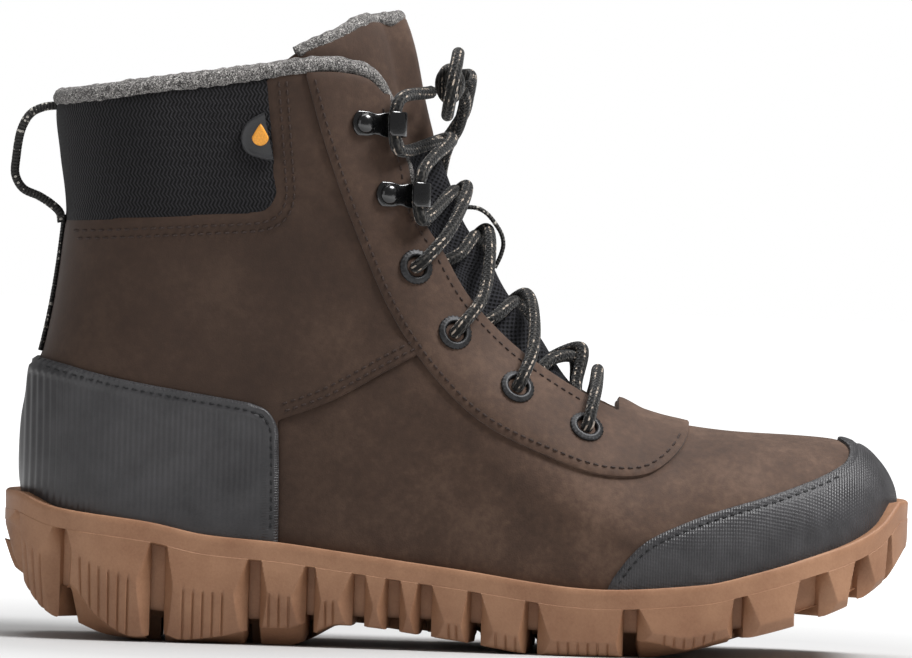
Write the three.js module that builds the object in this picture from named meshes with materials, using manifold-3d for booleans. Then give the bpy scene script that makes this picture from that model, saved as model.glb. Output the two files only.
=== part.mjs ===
// An insulated lace-up hunting boot, right foot, as separate pieces in millimetres, +Z up.
// +X is the toe, -Y the outer (lateral) side of the foot and +Y the inner (medial) side.
import * as THREE from 'three';
import { mergeVertices } from 'three/addons/utils/BufferGeometryUtils.js';
import Module from 'manifold-3d';

const wasm = await Module();
wasm.setup();

// ---- Driving dimensions ----
const FAN_X = 55;             // the ankle's sections turn about this point of the side view
const FAN_Z = 150;
const BODY_TOP = 240;         // the body runs on above the collar, and the pieces are cut from it
const TOE_X = 150.7;          // front of the lasted upper, under the toe cap
const BACK_ROUND = 42;        // depth over which the back of the heel and leg rounds off
const TOE_ROUND = 58;
const FRONT_ROUND = 46;       // the same from the instep ridge down to the full width
const LEATHER = 1.6;
const GAP = 0.3;
const OVERLAY = 1.9;          // outer face of the pieces that lie on the leather
const STIFFENER_FROM = LEATHER + 0.2;   // how far in from the leather's face each layer runs
const STIFFENER_TO = LEATHER + 1.3;
const PADDING_FROM = LEATHER + 1.6;
const PADDING_TO = 4;
const FELT_IN = 6.6;
const RIM = 4.3;              // height of the felt roll round the collar
const BOARD = 1.5;
const FOOTBED = 5;
const BED_ROOM = 2.0;         // clear space round the loose footbed
const SOLE_BACK = -158.5;
const SOLE_FRONT = 156.3;
const SOLE_MARGIN = 5.5;      // how far the outsole stands out past the upper, each side
const SOLE_BACK_ROUND = 46;
const SOLE_FRONT_ROUND = 62;
const SHANK_HALF = 9;         // half the shank's width
const WEB = 1.4;              // thickness and half-width of the webbing
const WEB_HALF = 4.5;
const LACE_RADIUS = 1.9;
const EYELET_OUTER = 6.05;
const EYELET_BORE = 3.4;
const EYELET_HOLE = 4.7;      // in the leather, round the eyelet's barrel
const RIVET_HOLE = 1.9;

// ---- Outlines in the side view, x then z ----
const INSTEP = [[-28, 240], [-24, 222], [-19.4, 207], [-15.4, 189], [-10.8, 173], [-6.5, 162], [-2, 150],
  [9.5, 133.6], [25.8, 112.4], [45, 94.5], [55, 87], [62.7, 83.1], [76, 80], [96.8, 77.9], [114.4, 77.3],
  [128, 76.4], [139, 72.9], [145, 67.6], [149.2, 61], [150.7, 54.5]];
const BACK = [[-146, 240], [-146, 200], [-145.2, 185], [-142.4, 168], [-140.2, 150], [-141, 138],
  [-147.2, 99], [-150.3, 92], [-152.8, 62.4], [-151.7, 50], [-150, 40.5]];
const LASTING_EDGE = [[-150, 40.5], [-141.2, 39.9], [-107.5, 35.7], [-87.1, 31.8], [-62.3, 30], [-23.9, 25.1],
  [23.2, 20.2], [55, 17.3], [84.3, 20], [103.3, 24.6], [123, 30.7], [137.6, 36], [147, 43], [150.7, 50]];
const SOLE_TOP = [[-158.5, 32.5], [-157.5, 42], [-154.6, 50.7], [-141.2, 45.9], [-107.5, 41.7], [-87.1, 37.8],
  [-62.3, 36], [-43.1, 33.8], [-1.7, 28.9], [49.4, 23.5], [84.3, 26], [103.3, 30.6], [123, 36.7],
  [137.6, 41.9], [147, 47.4], [153.5, 55.5]];
const SOLE_BOTTOM = [[156.3, 41.7], [156, 38.2], [148.4, 26.2], [131, 16.7], [102.5, 8.1], [63.6, 0],
  [30, 0], [-2.2, 3.9], [-41, 7.6], [-59, 0], [-94.6, 0], [-120, 1.4], [-134.8, 4.7], [-145, 9.5]];
const COLLAR_RIM = [[-170, 187], [-146.2, 189.1], [-74.2, 199.6], [-56.9, 202.6], [-46.5, 202.9],
  [-36.7, 200.7], [-31.3, 195.7]];
const THROAT = [[-29.5, 192.3], [-27.5, 179.8], [-22.5, 167.8], [-19.3, 153.3], [-9.5, 137.9], [0.5, 121.9],
  [14.9, 107], [27.5, 97.8], [45, 87.4], [53.5, 83.5]];
const EYESTAY_EDGE = [[-58.2, 230], [-58.2, 199.1], [-50.5, 173.9], [-37.8, 141.2], [-24.7, 114.1],
  [-11, 95.3], [5.9, 79.9], [29.8, 68.3], [48.5, 62.4], [63.3, 62.5], [70.6, 66.4], [76.3, 72.5],
  [78.4, 77.7], [78.6, 90]];
const VAMP_SEAM = [[-64.3, 10], [-64.3, 78.2], [-46.4, 85.3], [-18, 101.6], [2, 110.5], [9.5, 111]];
const HEEL_EDGE = [[-170, 97], [-150.7, 97], [-117.7, 90.5], [-73.8, 83.8], [-66.4, 78.1], [-63.8, 74],
  [-62.3, 10], [-170, 10]];
const TOE_EDGE = [[52, 10], [52, 24.3], [56.8, 32.1], [64, 39.7], [82.9, 48.7], [111.3, 58.1],
  [130.9, 66.7], [135.9, 72], [130, 80], [170, 90], [170, 10]];
const COLLAR_PATCH = [[-170, 230], [-70.4, 230], [-66.2, 163.7], [-65.5, 154.3], [-70.6, 148.2],
  [-140.3, 143.3], [-170, 142]];
const TONGUE_TOP = [[-60.5, 205], [-42.3, 213.5], [-30, 220], [-22, 220]];
const HINGE = [-22, 176];     // where the tongue top bends
const EYELETS = [[42.2, 77.6, 62], [17.8, 91.1, 54], [-4.4, 109.5, 38], [-18.6, 132.1, 32]]; // with the way to the throat
const HOOKS = [[-28.9, 157.1], [-37.9, 181.4]];
const CROSSING_LEAN = [62, 50, 42, 35, 25, 18];     // degrees
const CROSSINGS = [[45, 95.3], [37.5, 101.5], [17, 120.4], [2.4, 142.9], [-5.6, 158.5], [-11.6, 175.5]];

// ---- Numbers that change along the boot: a smooth line through hand-set points ----
function through(points) {
  const last = points.length - 1;
  const slopes = points.slice(1).map((p, i) => (p[1] - points[i][1]) / (p[0] - points[i][0]));
  const tangents = points.map((p, i) => {
    if (i === 0) return slopes[0];
    if (i === last) return slopes[last - 1];
    const [before, after] = [slopes[i - 1], slopes[i]];
    return before * after <= 0 ? 0 : 2 * before * after / (before + after);
  });
  return (value) => {
    const x = Math.min(Math.max(value, points[0][0]), points[last][0]);
    let i = 0;
    while (i < last - 1 && x > points[i + 1][0]) i += 1;
    const step = points[i + 1][0] - points[i][0];
    const t = (x - points[i][0]) / step;
    const rise = t * t * (3 - 2 * t);
    const start = t * (1 - t) * (1 - t);
    const end = t * t * (t - 1);
    return points[i][1] * (1 - rise) + points[i + 1][1] * rise
      + step * (tangents[i] * start + tangents[i + 1] * end);
  };
}

const smooth = (value, low, high) => THREE.MathUtils.smoothstep(value, low, high);
const bulge = (t, power = 2.2) => (1 - (1 - Math.min(Math.max(t, 0), 1)) ** power) ** (1 / power);

const footHalf = through([[-150, 37], [-60, 37], [-20, 38], [20, 43.5], [60, 48.5], [90, 49], [150, 46]]);
const legHalf = through([[90, 37], [130, 38.5], [160, 42], [190, 44], [240, 46]]);
const centreY = through([[-150, 0], [-80, 0], [-20, -3], [60, -1], [100, 3], [150, 10]]);
const ridgePower = through([[-20, 1.9], [20, 1.7], [45, 1.6], [75, 1.75], [100, 2.1], [150, 2.2]]);
const byHeight = (points) => through(points.map(([x, z]) => [z, x]).sort((a, b) => a[0] - b[0]));
const backX = byHeight(BACK);
const soleTop = through(SOLE_TOP.slice(2));

// ---- The body: a solid of the whole upper, made of sections ----
// Level sections down the leg, a fan of sections round the ankle, upright sections along the foot.
const fanAngle = ([x, z]) => Math.atan2(FAN_Z - z, FAN_X - x);
const fanRadius = ([x, z]) => Math.hypot(FAN_Z - z, FAN_X - x);
const inLeg = ([, z]) => z >= FAN_Z;
const inFan = ([x, z]) => z <= FAN_Z && x <= FAN_X;
const inFoot = ([x, z]) => x >= FAN_X && z < FAN_Z;
const fanLine = (points) => through(points.filter(inFan).map((p) => [fanAngle(p), fanRadius(p)]));
const footKey = (x) => Math.asin(Math.min((x - FAN_X) / (TOE_X - FAN_X), 1));
const footLine = (points) => through(points.filter(inFoot).map(([x, z]) => [footKey(x), z]));

const OUTER_LINE = [...BACK, ...LASTING_EDGE.slice(1)];
const legFront = byHeight(INSTEP.filter(inLeg));
const fanFront = fanLine(INSTEP);
const fanBack = fanLine(OUTER_LINE);
const footTop = footLine(INSTEP);
const footBottom = footLine(LASTING_EDGE);

// A section's point by how far it is along the boot (0 to 3) and from front to back (0 to 1).
function sectionPoint(along, across) {
  if (along <= 1) {
    const z = BODY_TOP - along * (BODY_TOP - FAN_Z);
    const length = legFront(z) - backX(z);
    return { x: legFront(z) - across * length, z, front: across * length, length };
  }
  if (along <= 2) {
    const angle = (along - 1) * Math.PI / 2;
    const length = fanBack(angle) - fanFront(angle);
    const radius = fanFront(angle) + across * length;
    const x = FAN_X - radius * Math.cos(angle);
    const z = FAN_Z - radius * Math.sin(angle);
    return { x, z, front: across * length, length };
  }
  const key = (along - 2) * Math.PI / 2;
  const length = footTop(key) - footBottom(key);
  const x = FAN_X + (TOE_X - FAN_X) * Math.sin(key);
  return { x, z: footTop(key) - across * length, front: across * length, length };
}

// The same section data for a place in the side view.
function sectionOf(x, z) {
  if (z >= FAN_Z) return { x, z, front: legFront(z) - x, length: legFront(z) - backX(z) };
  if (x >= FAN_X) {
    const key = footKey(x);
    return { x, z, front: footTop(key) - z, length: footTop(key) - footBottom(key) };
  }
  const angle = fanAngle([x, z]);
  const front = fanRadius([x, z]) - fanFront(angle);
  return { x, z, front, length: fanBack(angle) - fanFront(angle) };
}

const middleY = (x, z) => centreY(x) * (1 - smooth(z, 80, 150));

function halfWidth({ x, z, front, length }) {
  const full = THREE.MathUtils.lerp(footHalf(x), legHalf(z), smooth(z, 75, 135));
  const back = bulge((x - backX(z)) / BACK_ROUND);
  const toe = bulge((TOE_X - x) / TOE_ROUND);
  return full * back * toe * bulge(front / Math.min(FRONT_ROUND, 0.9 * length), ridgePower(x));
}

// A point of the body's side at a place in the side view, raised along the surface's normal.
function onBody(x, z, side, raise = 0) {
  const surface = (px, pz) => middleY(px, pz) + side * halfWidth(sectionOf(px, pz));
  const step = 0.5;
  const slopeX = (surface(x + step, z) - surface(x - step, z)) / (2 * step);
  const slopeZ = (surface(x, z + step) - surface(x, z - step)) / (2 * step);
  const normal = new THREE.Vector3(-slopeX, 1, -slopeZ).multiplyScalar(side).normalize();
  const point = new THREE.Vector3(x, surface(x, z), z).addScaledVector(normal, raise);
  return { point, normal };
}

const LEG_STEPS = [0, 0.35, 0.6, 0.82];
const FAN_STEPS = [0, 10, 20, 28, 29.5, 32, 37, 46, 57, 68, 80].map((angle) => 1 + angle / 90);
const HEEL_CORNER = 1 + 28 / 90;    // where the sections pass from the back of the heel to the bottom
const FOOT_STEPS = [0, 0.16, 0.32, 0.47, 0.6, 0.72, 0.83, 0.93, 1].map((part) => 2 + part);
const ALONG = [...LEG_STEPS, ...FAN_STEPS, ...FOOT_STEPS];
const FINE_ACROSS = [0, 0.025, 0.08, 0.16, 0.28, 0.5, 0.8, 0.95, 1];
const COARSE_ACROSS = [0, 0.06, 0.16, 0.28, 0.5, 0.8, 0.95, 1];

// The body's closed mesh. Its normals are the walls' alone, so a wall keeps its slope when moved.
function bodyGrid(acrossSteps) {
  const last = acrossSteps.length - 1;
  const ring = 2 * (last + 1);
  const positions = [];
  const fronts = [];
  for (const along of ALONG) {
    for (let i = 0; i < ring; i += 1) {
      const side = i <= last ? -1 : 1;
      const step = i <= last ? i : ring - 1 - i;
      const place = sectionPoint(along, acrossSteps[step]);
      positions.push(place.x, middleY(place.x, place.z) + side * halfWidth(place), place.z);
      fronts.push(place.front);
    }
  }
  const top = sectionPoint(0, 0.5);
  positions.push(top.x, 0, top.z);
  fronts.push(top.front);
  const walls = [];
  const floor = [];
  for (let row = 0; row < ALONG.length - 1; row += 1) {
    for (let i = 0; i < ring; i += 1) {
      const [a, b] = [row * ring + i, row * ring + (i + 1) % ring];
      (i === last ? floor : walls).push(a, b, b + ring, a, b + ring, a + ring);
    }
  }
  for (let i = 0; i < ring; i += 1) walls.push(ALONG.length * ring, (i + 1) % ring, i);
  const geometry = new THREE.BufferGeometry();
  geometry.setAttribute('position', new THREE.Float32BufferAttribute(positions, 3));
  geometry.setAttribute('front', new THREE.Float32BufferAttribute(fronts, 1));
  geometry.setIndex([...walls, ...floor]);
  const merged = mergeVertices(geometry, 1e-3);
  const all = [...merged.index.array];
  const proper = (from, to) => {
    const kept = [];
    for (let i = from; i < to; i += 3) {
      const [a, b, c] = [all[i], all[i + 1], all[i + 2]];
      if (a !== b && b !== c && c !== a) kept.push(a, b, c);
    }
    return kept;
  };
  const wallFaces = proper(0, walls.length);
  merged.setIndex(wallFaces);
  merged.computeVertexNormals();
  merged.setIndex([...wallFaces, ...proper(walls.length, all.length)]);
  return merged;
}
const BODY = bodyGrid(FINE_ACROSS);
const INNER_BODY = bodyGrid(COARSE_ACROSS);

// ---- Solids ----
const scratch = new THREE.Matrix4();

function solidFrom(geometry, matrix) {
  const plain = geometry.clone();
  if (matrix) plain.applyMatrix4(matrix);
  for (const name of Object.keys(plain.attributes)) if (name !== 'position') plain.deleteAttribute(name);
  const merged = mergeVertices(plain, 1e-3);
  return new wasm.Manifold(new wasm.Mesh({
    numProp: 3,
    vertProperties: new Float32Array(merged.attributes.position.array),
    triVerts: new Uint32Array(merged.index.array),
  }));
}

function geometryFrom(solid) {
  const mesh = solid.getMesh();
  const geometry = new THREE.BufferGeometry();
  geometry.setAttribute('position', new THREE.Float32BufferAttribute(mesh.vertProperties, 3));
  geometry.setIndex([...mesh.triVerts]);
  geometry.computeVertexNormals();
  return geometry;
}

// The body with its walls moved out (or in, below 0), evenly or by a rule of front distance.
// Moved in, its floor comes up by as much.
function bodySolid(raise, grid = BODY) {
  const moved = grid.clone();
  const position = moved.attributes.position;
  const point = new THREE.Vector3();
  const normal = new THREE.Vector3();
  for (let i = 0; i < position.count; i += 1) {
    point.fromBufferAttribute(position, i);
    normal.fromBufferAttribute(grid.attributes.normal, i);
    const distance = typeof raise === 'number' ? raise : raise(grid.attributes.front.getX(i), point.x);
    position.setXYZ(i, ...point.addScaledVector(normal, distance).toArray());
  }
  const solid = solidFrom(moved);
  return raise < 0 ? solid.intersect(prism(aboveBoard(-raise))) : solid;
}

const shell = (outer, inner, grid) => bodySolid(outer, grid).subtract(bodySolid(inner, grid));

// A side-view outline carried straight through the boot, over a stretch of Y.
function prism(outline, from = -100, to = 100) {
  const shape = new THREE.Shape(outline.map(([x, z]) => new THREE.Vector2(x, z)));
  const geometry = new THREE.ExtrudeGeometry(shape, { depth: to - from, bevelEnabled: false });
  return solidFrom(geometry, scratch.makeRotationX(Math.PI / 2).setPosition(0, to, 0));
}

// A plan-view outline carried up over a stretch of Z.
function slab(outline, from, to) {
  const shape = new THREE.Shape(outline.map(([x, y]) => new THREE.Vector2(x, y)));
  const geometry = new THREE.ExtrudeGeometry(shape, { depth: to - from, bevelEnabled: false });
  return solidFrom(geometry, scratch.makeTranslation(0, 0, from));
}

// An outline with its edge moved out by a distance (in, below 0), at every corner.
function grown(outline, distance) {
  const points = outline.map(([x, z]) => new THREE.Vector2(x, z));
  const turn = Math.sign(THREE.ShapeUtils.area(points));
  return points.map((point, i) => {
    const before = points[(i + points.length - 1) % points.length];
    const after = points[(i + 1) % points.length];
    const one = point.clone().sub(before).normalize();
    const two = after.clone().sub(point).normalize();
    const normal = new THREE.Vector2(one.y + two.y, -one.x - two.x).normalize();
    const miter = 1 / Math.max(0.5, normal.dot(new THREE.Vector2(one.y, -one.x)));
    return point.clone().addScaledVector(normal, turn * distance * miter).toArray();
  });
}

// Everything above the collar and in front of the throat, with the edges moved into the upper.
function opening(drop, back) {
  const rim = COLLAR_RIM.map(([x, z]) => [x, z - drop]);
  const throat = THROAT.map(([x, z], i) => [x - 0.8 * back, z - 0.6 * back - (i === 0 ? drop : 0)]);
  return [...rim, ...throat, [70, 110], [70, 260], [-170, 260]];
}
const floorLine = ALONG.filter((along) => along >= HEEL_CORNER).map((along) => {
  const { x, z } = sectionPoint(along, 1);
  return [x, z];
});
const aboveLine = (line, rise) => [[-170, line[0][1] + rise], ...line.map(([x, z]) => [x, z + rise]),
  [170, line.at(-1)[1] + rise], [170, 260], [-170, 260]];
const aboveBoard = (rise) => aboveLine(floorLine, rise);
const behindEdge = [...EYESTAY_EDGE.slice(0, -1), [79, 80], [79, 260], [-58.2, 260]];

const root = new THREE.Group();
const finishes = {
  leather: { color: 0x5c4c40, roughness: 0.85, metalness: 0 },
  rubber: { color: 0x3e3e42, roughness: 0.7, metalness: 0 },
  gum: { color: 0xa0744f, roughness: 0.75, metalness: 0 },
  foam: { color: 0xcfc9bb, roughness: 0.9, metalness: 0 },
  felt: { color: 0x85858a, roughness: 1, metalness: 0 },
  mesh: { color: 0x242428, roughness: 0.95, metalness: 0 },
  webbing: { color: 0x33332f, roughness: 0.9, metalness: 0 },
  steel: { color: 0x9a9ca0, roughness: 0.35, metalness: 0.9 },
  gunmetal: { color: 0x3c3d40, roughness: 0.4, metalness: 0.9 },
  board: { color: 0x8f7a58, roughness: 0.9, metalness: 0 },
};

function add(name, geometry, finish) {
  const mesh = new THREE.Mesh(geometry, new THREE.MeshStandardMaterial(finishes[finish]));
  mesh.name = name;
  root.add(mesh);
  return mesh;
}

// ---- Eyelets, hooks and the holes that they sit in ----
const sides = [['lateral', -1], ['medial', 1]];

// A frame with local Y out of the surface and local X forward along it.
function seatMatrix(x, z, side) {
  const { point, normal } = onBody(x, z, side);
  const forward = new THREE.Vector3(1, 0, 0).addScaledVector(normal, -normal.x).normalize();
  const across = new THREE.Vector3().crossVectors(forward, normal);
  return new THREE.Matrix4().makeBasis(forward, normal, across).setPosition(point);
}

const lathe = (profile, segments) => new THREE.LatheGeometry(
  profile.map(([x, y]) => new THREE.Vector2(x, y)), segments);

const punch = (radius) => (x, z, side) => solidFrom(
  new THREE.CylinderGeometry(radius, radius, 12, 8), seatMatrix(x, z, side));

let holes = [];
for (const [, side] of sides) {
  holes = [...holes, ...EYELETS.map(([x, z]) => punch(EYELET_HOLE)(x, z, side)),
    ...HOOKS.map(([x, z]) => punch(RIVET_HOLE)(x, z, side))];
}
const cutHoles = (solid) => holes.reduce((left, hole) => left.subtract(hole), solid);

// ---- Upper: leather, the pieces on it, and the layers inside ----
const leather = cutHoles(shell(0, -LEATHER)
  .intersect(prism(aboveBoard(BOARD + GAP)))
  .subtract(prism(opening(RIM + GAP, 0))));
const vampOutline = [...VAMP_SEAM, [30, 130], [70, 130], [170, 110], [170, 10]];
const backHalf = leather.subtract(prism(grown(vampOutline, GAP))).subtract(prism(grown(COLLAR_PATCH, GAP)));
add('vamp', geometryFrom(leather.intersect(prism(vampOutline))), 'leather');
add('collar_panel', geometryFrom(leather.intersect(prism(COLLAR_PATCH))), 'mesh');
for (const [name, side] of sides) {
  const half = slab([[-200, side * 0.2], [200, side * 0.2], [200, side * 100], [-200, side * 100]], -10, 270);
  add(`quarter_${name}`, geometryFrom(backHalf.intersect(half)), 'leather');
}

const overlay = shell(OVERLAY, GAP).subtract(prism(opening(RIM + GAP, 0)));
add('eyestay', geometryFrom(cutHoles(overlay.intersect(prism(behindEdge)))), 'leather');
const onRubber = overlay.intersect(prism(aboveLine(SOLE_TOP.slice(2), GAP)));
add('heel_cover', geometryFrom(onRubber.intersect(prism(HEEL_EDGE))), 'rubber');
add('toe_cap', geometryFrom(onRubber.intersect(prism(TOE_EDGE))), 'rubber');

// Stiffeners lie between the leather and the insulation, which gives way round them.
const stiffenerLayer = shell(-STIFFENER_FROM, -STIFFENER_TO).intersect(prism(aboveBoard(3)));
const heelStiffener = [[-170, 88], [-150, 88], [-80, 74], [-72, 10], [-170, 10]];
const toePuff = [[84, 10], [84, 42], [118, 66], [140, 90], [144, 90], [144, 10]];
add('heel_stiffener', geometryFrom(stiffenerLayer.intersect(prism(heelStiffener))), 'board');
add('toe_puff', geometryFrom(stiffenerLayer.intersect(prism(toePuff))), 'board');

const lacingRoom = [[-42, 149], [-39, 141], [-26, 113.5], [-12, 94.5], [5, 79], [29.3, 67.2], [49, 61], [60, 66],
  [60, 149]];
const deepLayer = shell(-PADDING_FROM, -PADDING_TO, INNER_BODY).subtract(prism(grown(behindEdge, 0.5)))
  .subtract(prism(opening(RIM + GAP, 0)));
add('insulation', geometryFrom(deepLayer), 'foam');
const felt = shell(-PADDING_TO - GAP, -FELT_IN, INNER_BODY).subtract(prism(opening(RIM + GAP, 1)));
add('felt_lining', geometryFrom(felt.subtract(prism(lacingRoom))), 'felt');
const rimBand = prism(opening(RIM, 0)).subtract(prism(opening(0, 0)))
  .subtract(prism([[-31, 0], [200, 0], [200, 300], [-31, 300]]));
add('collar_binding', geometryFrom(shell(0.4, -FELT_IN).intersect(rimBand)), 'felt');

// ---- Tongue: one smooth crowned sheet, low where it runs under the eyestay ----
const TONGUE_TOP_FACE = -3.3; // its crown below the body's surface
const TONGUE_SINK = 6;
const TONGUE_CROWN = 11;      // the crown has dropped to the wings this far behind the ridge
const tongueRaise = (extra) => (front, x) => extra + TONGUE_TOP_FACE
  - TONGUE_SINK * Math.max(smooth(front, 0, TONGUE_CROWN), smooth(x, 12, 46));
const tongueShell = (outer, inner) => bodySolid(tongueRaise(outer)).subtract(bodySolid(tongueRaise(inner)));
const tongueOutline = [...TONGUE_TOP, [-10, 222], [20, 150], [60, 100], [52, 82], [40, 82], [16, 95],
  [-6, 110], [-24, 134], [-38, 160], [-48, 180]];
const [HINGE_X, HINGE_Z] = HINGE;
const WING_NOTCH = 12;        // the top's wings start this much higher, so that it can fold back
const bendCut = [[-72, HINGE_Z - GAP], [30, HINGE_Z - GAP], [30, HINGE_Z + GAP], [HINGE_X, HINGE_Z + GAP],
  [-72, HINGE_Z + WING_NOTCH]];
const aboveBend = prism([[-100, HINGE_Z], [60, HINGE_Z], [60, 300], [-100, 300]]);
const tongueLayers = [['tongue_skin', 0, -1.2, 'mesh', 'leather'], ['tongue_foam', -1.5, -3.2, 'foam', 'foam'],
  ['tongue_lining', -3.5, -4.3, 'felt', 'felt']];
for (const [name, outer, inner, lowFinish, topFinish] of tongueLayers) {
  const layer = tongueShell(outer, inner).intersect(prism(tongueOutline)).subtract(prism(bendCut));
  add(`${name}_lower`, geometryFrom(layer.subtract(aboveBend)), lowFinish);
  add(`${name}_top`, geometryFrom(layer.intersect(aboveBend)), topFinish);
}

// ---- Under the foot ----
add('insole_board', geometryFrom(bodySolid(-GAP).subtract(prism(aboveBoard(BOARD)))), 'board');
const bedRoom = bodySolid(-FELT_IN - BED_ROOM, INNER_BODY);
add('footbed', geometryFrom(bedRoom.subtract(prism(aboveBoard(FELT_IN + BED_ROOM + FOOTBED)))), 'foam');

// The plan outline of the sole, as a half-width on either side of a curved middle line.
function soleHalf(x, margin) {
  const back = bulge((x - SOLE_BACK + margin - SOLE_MARGIN) / SOLE_BACK_ROUND);
  const front = bulge((SOLE_FRONT - SOLE_MARGIN + margin - x) / SOLE_FRONT_ROUND);
  return (footHalf(x) + margin) * back * front;
}
function solePlan(margin, count) {
  const from = SOLE_BACK + SOLE_MARGIN - margin;
  const to = SOLE_FRONT - SOLE_MARGIN + margin;
  const half = Array.from({ length: count + 1 }, (_, i) => {
    const x = from + (to - from) * (1 - Math.cos(Math.PI * i / count)) / 2;
    return [x, soleHalf(x, margin)];
  });
  const lateral = half.map(([x, y]) => [x, centreY(x) - y]);
  const medial = half.slice(1, -1).reverse().map(([x, y]) => [x, centreY(x) + y]);
  return [...lateral, ...medial];
}
const soleBody = slab(solePlan(SOLE_MARGIN, 20), -5, 70).intersect(prism([...SOLE_TOP, ...SOLE_BOTTOM]));
const lastingPart = floorLine.filter(([x]) => x > -142 && x < 138);
const midsoleUnder = [[130, 26], [103, 16], [60, 10], [20, 11], [-41, 16], [-60, 14], [-120, 14], [-140, 24]];
const midsoleSide = [...lastingPart.map(([x, z]) => [x, z - 0.4]), ...midsoleUnder];
const midsoleBlock = slab(solePlan(-4, 14), -5, 70).intersect(prism(midsoleSide));
const shankTop = [[-100, 32.6], [-62, 27.6], [-24, 22.9], [12, 19.4]];
const SHANK = 1.5;
const shankSide = [...shankTop, ...shankTop.map(([x, z]) => [x, z - SHANK]).reverse()];
const shankPocket = prism([...shankTop.map(([x, z]) => [x, z + 12]),
  ...grown(shankSide, GAP).slice(shankTop.length)], -SHANK_HALF - GAP, SHANK_HALF + GAP);
add('midsole', geometryFrom(midsoleBlock.subtract(shankPocket)), 'foam');
add('shank', geometryFrom(prism(shankSide, -SHANK_HALF, SHANK_HALF)), 'steel');

// Tread: lugs are what is left between grooves cut square to the edge of the sole.
const GROOVES = [[-138, 6], [-103.7, 7], [-70.5, 8], [-51.2, 6], [-34.3, 7], [-22.4, 6], [-11.6, 6], [5.8, 6],
  [25.6, 7], [60, 8], [97.8, 8], [122, 8], [139.6, 5]]; // x of the middle, and width
const GROOVE_IN = 6;          // how far a groove is let into the side wall
const GROOVE_REACH = 22;      // and in under the sole
const WAIST_REACH = 12;       // less at the waist, where the sole is narrow
const WAIST = [-60, 20];
const BAND = 7;               // the plain band over the lugs
const grooveRoof = through([[-138, 18], [-103.7, 10.9], [-70.5, 9], [-51.2, 11], [-11.6, 11], [5.8, 10.2],
  [25.6, 8.5], [60, 8.5], [97.8, 11], [122, 18], [139.6, 24.5]]);
function groove(x, width, side) {
  const step = 0.5;
  const slope = (soleHalf(x + step, SOLE_MARGIN) - soleHalf(x - step, SOLE_MARGIN)) / (2 * step);
  const turn = Math.atan(slope) * -side;
  const top = soleTop(x) - BAND;
  const bottom = grooveRoof(x);
  const reach = x > WAIST[0] && x < WAIST[1] ? WAIST_REACH : GROOVE_REACH;
  const shape = new THREE.Shape([[8, -9], [8, top], [-GROOVE_IN, top - 1], [-GROOVE_IN - 1, bottom],
    [-reach, bottom - 2], [-reach, -9]].map(([out, z]) => new THREE.Vector2(out, z)));
  const cutter = new THREE.ExtrudeGeometry(shape, { depth: width, bevelEnabled: false });
  cutter.translate(0, 0, -width / 2);
  const outward = new THREE.Vector3(-Math.sin(turn) * -side, side * Math.cos(turn), 0);
  const up = new THREE.Vector3(0, 0, 1);
  const along = new THREE.Vector3().crossVectors(outward, up);
  const edge = new THREE.Vector3(x, centreY(x) + side * soleHalf(x, SOLE_MARGIN), 0);
  return solidFrom(cutter, new THREE.Matrix4().makeBasis(outward, up, along).setPosition(edge));
}
let sole = soleBody;
for (const [, side] of sides) {
  for (const [x, width] of GROOVES) sole = sole.subtract(groove(x, width, side));
}
const cup = bodySolid(GAP).subtract(prism(aboveBoard(120)));
const roomSide = [...lastingPart.map(([x, z]) => [x, z + 4]), ...midsoleUnder.map(([x, z]) => [x, z - GAP])];
const midsoleRoom = slab(solePlan(-3, 14), -5, 90).intersect(prism(roomSide).add(prism(grown(midsoleSide, GAP))));
sole = sole.subtract(cup).subtract(midsoleRoom);
add('outsole', geometryFrom(sole), 'gum');

// ---- Webbing: the strip up the back seam, the pull loop and the lace keeper ----
const backLine = (raise, from, to) => [0, 0.25, 0.5, 0.75, 1].map((part) => {
  const z = from + part * (to - from);
  return [backX(z) - raise, z];
});
const strip = [...backLine(1.1, 100, 145), ...backLine(1.1 + WEB, 100, 145).reverse()];
add('heel_strip', geometryFrom(prism(strip, -WEB_HALF, WEB_HALF)), 'webbing');
const loopOutside = [[-148.3, 184.4], [-154.1, 182.6], [-157.8, 176.5], [-159.5, 166], [-159.5, 159],
  [-156.7, 154.3], [-149.3, 151.1], [-143.6, 148.4]];
const loopInside = [[-143.6, 150], [-149, 152.9], [-155.4, 156], [-157.4, 160], [-157.4, 166], [-155.8, 175.6],
  [-152.8, 180.6], [-148.3, 182.2]];
add('pull_loop', geometryFrom(prism([...loopOutside, ...loopInside], -WEB_HALF, WEB_HALF)), 'webbing');
const keeperArch = [[-13, -0.5], [-9, 7], [-5, 8.8], [5, 8.8], [9, 7], [13, -0.5], [11.2, -0.5], [8, 6],
  [4.6, 7.4], [-4.6, 7.4], [-8, 6], [-11.2, -0.5]];
const [keeperX, keeperZ] = CROSSINGS[3];
const keeperPlace = keeperArch.map(([t, n]) => [keeperX + 0.6 * t + 0.8 * n, keeperZ - 0.8 * t + 0.6 * n]);
add('lace_keeper', geometryFrom(prism(keeperPlace, -WEB_HALF, WEB_HALF)), 'webbing');
const tag = [[-69.4, 185.5], [-73, 183.3], [-78.2, 180.7], [-79.4, 175.1], [-77.3, 170.6], [-72.6, 169.4],
  [-67.9, 168.9]];
add('side_tag', geometryFrom(shell(1.5, 0.4).intersect(prism(tag, -100, 0))), 'rubber');

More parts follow.
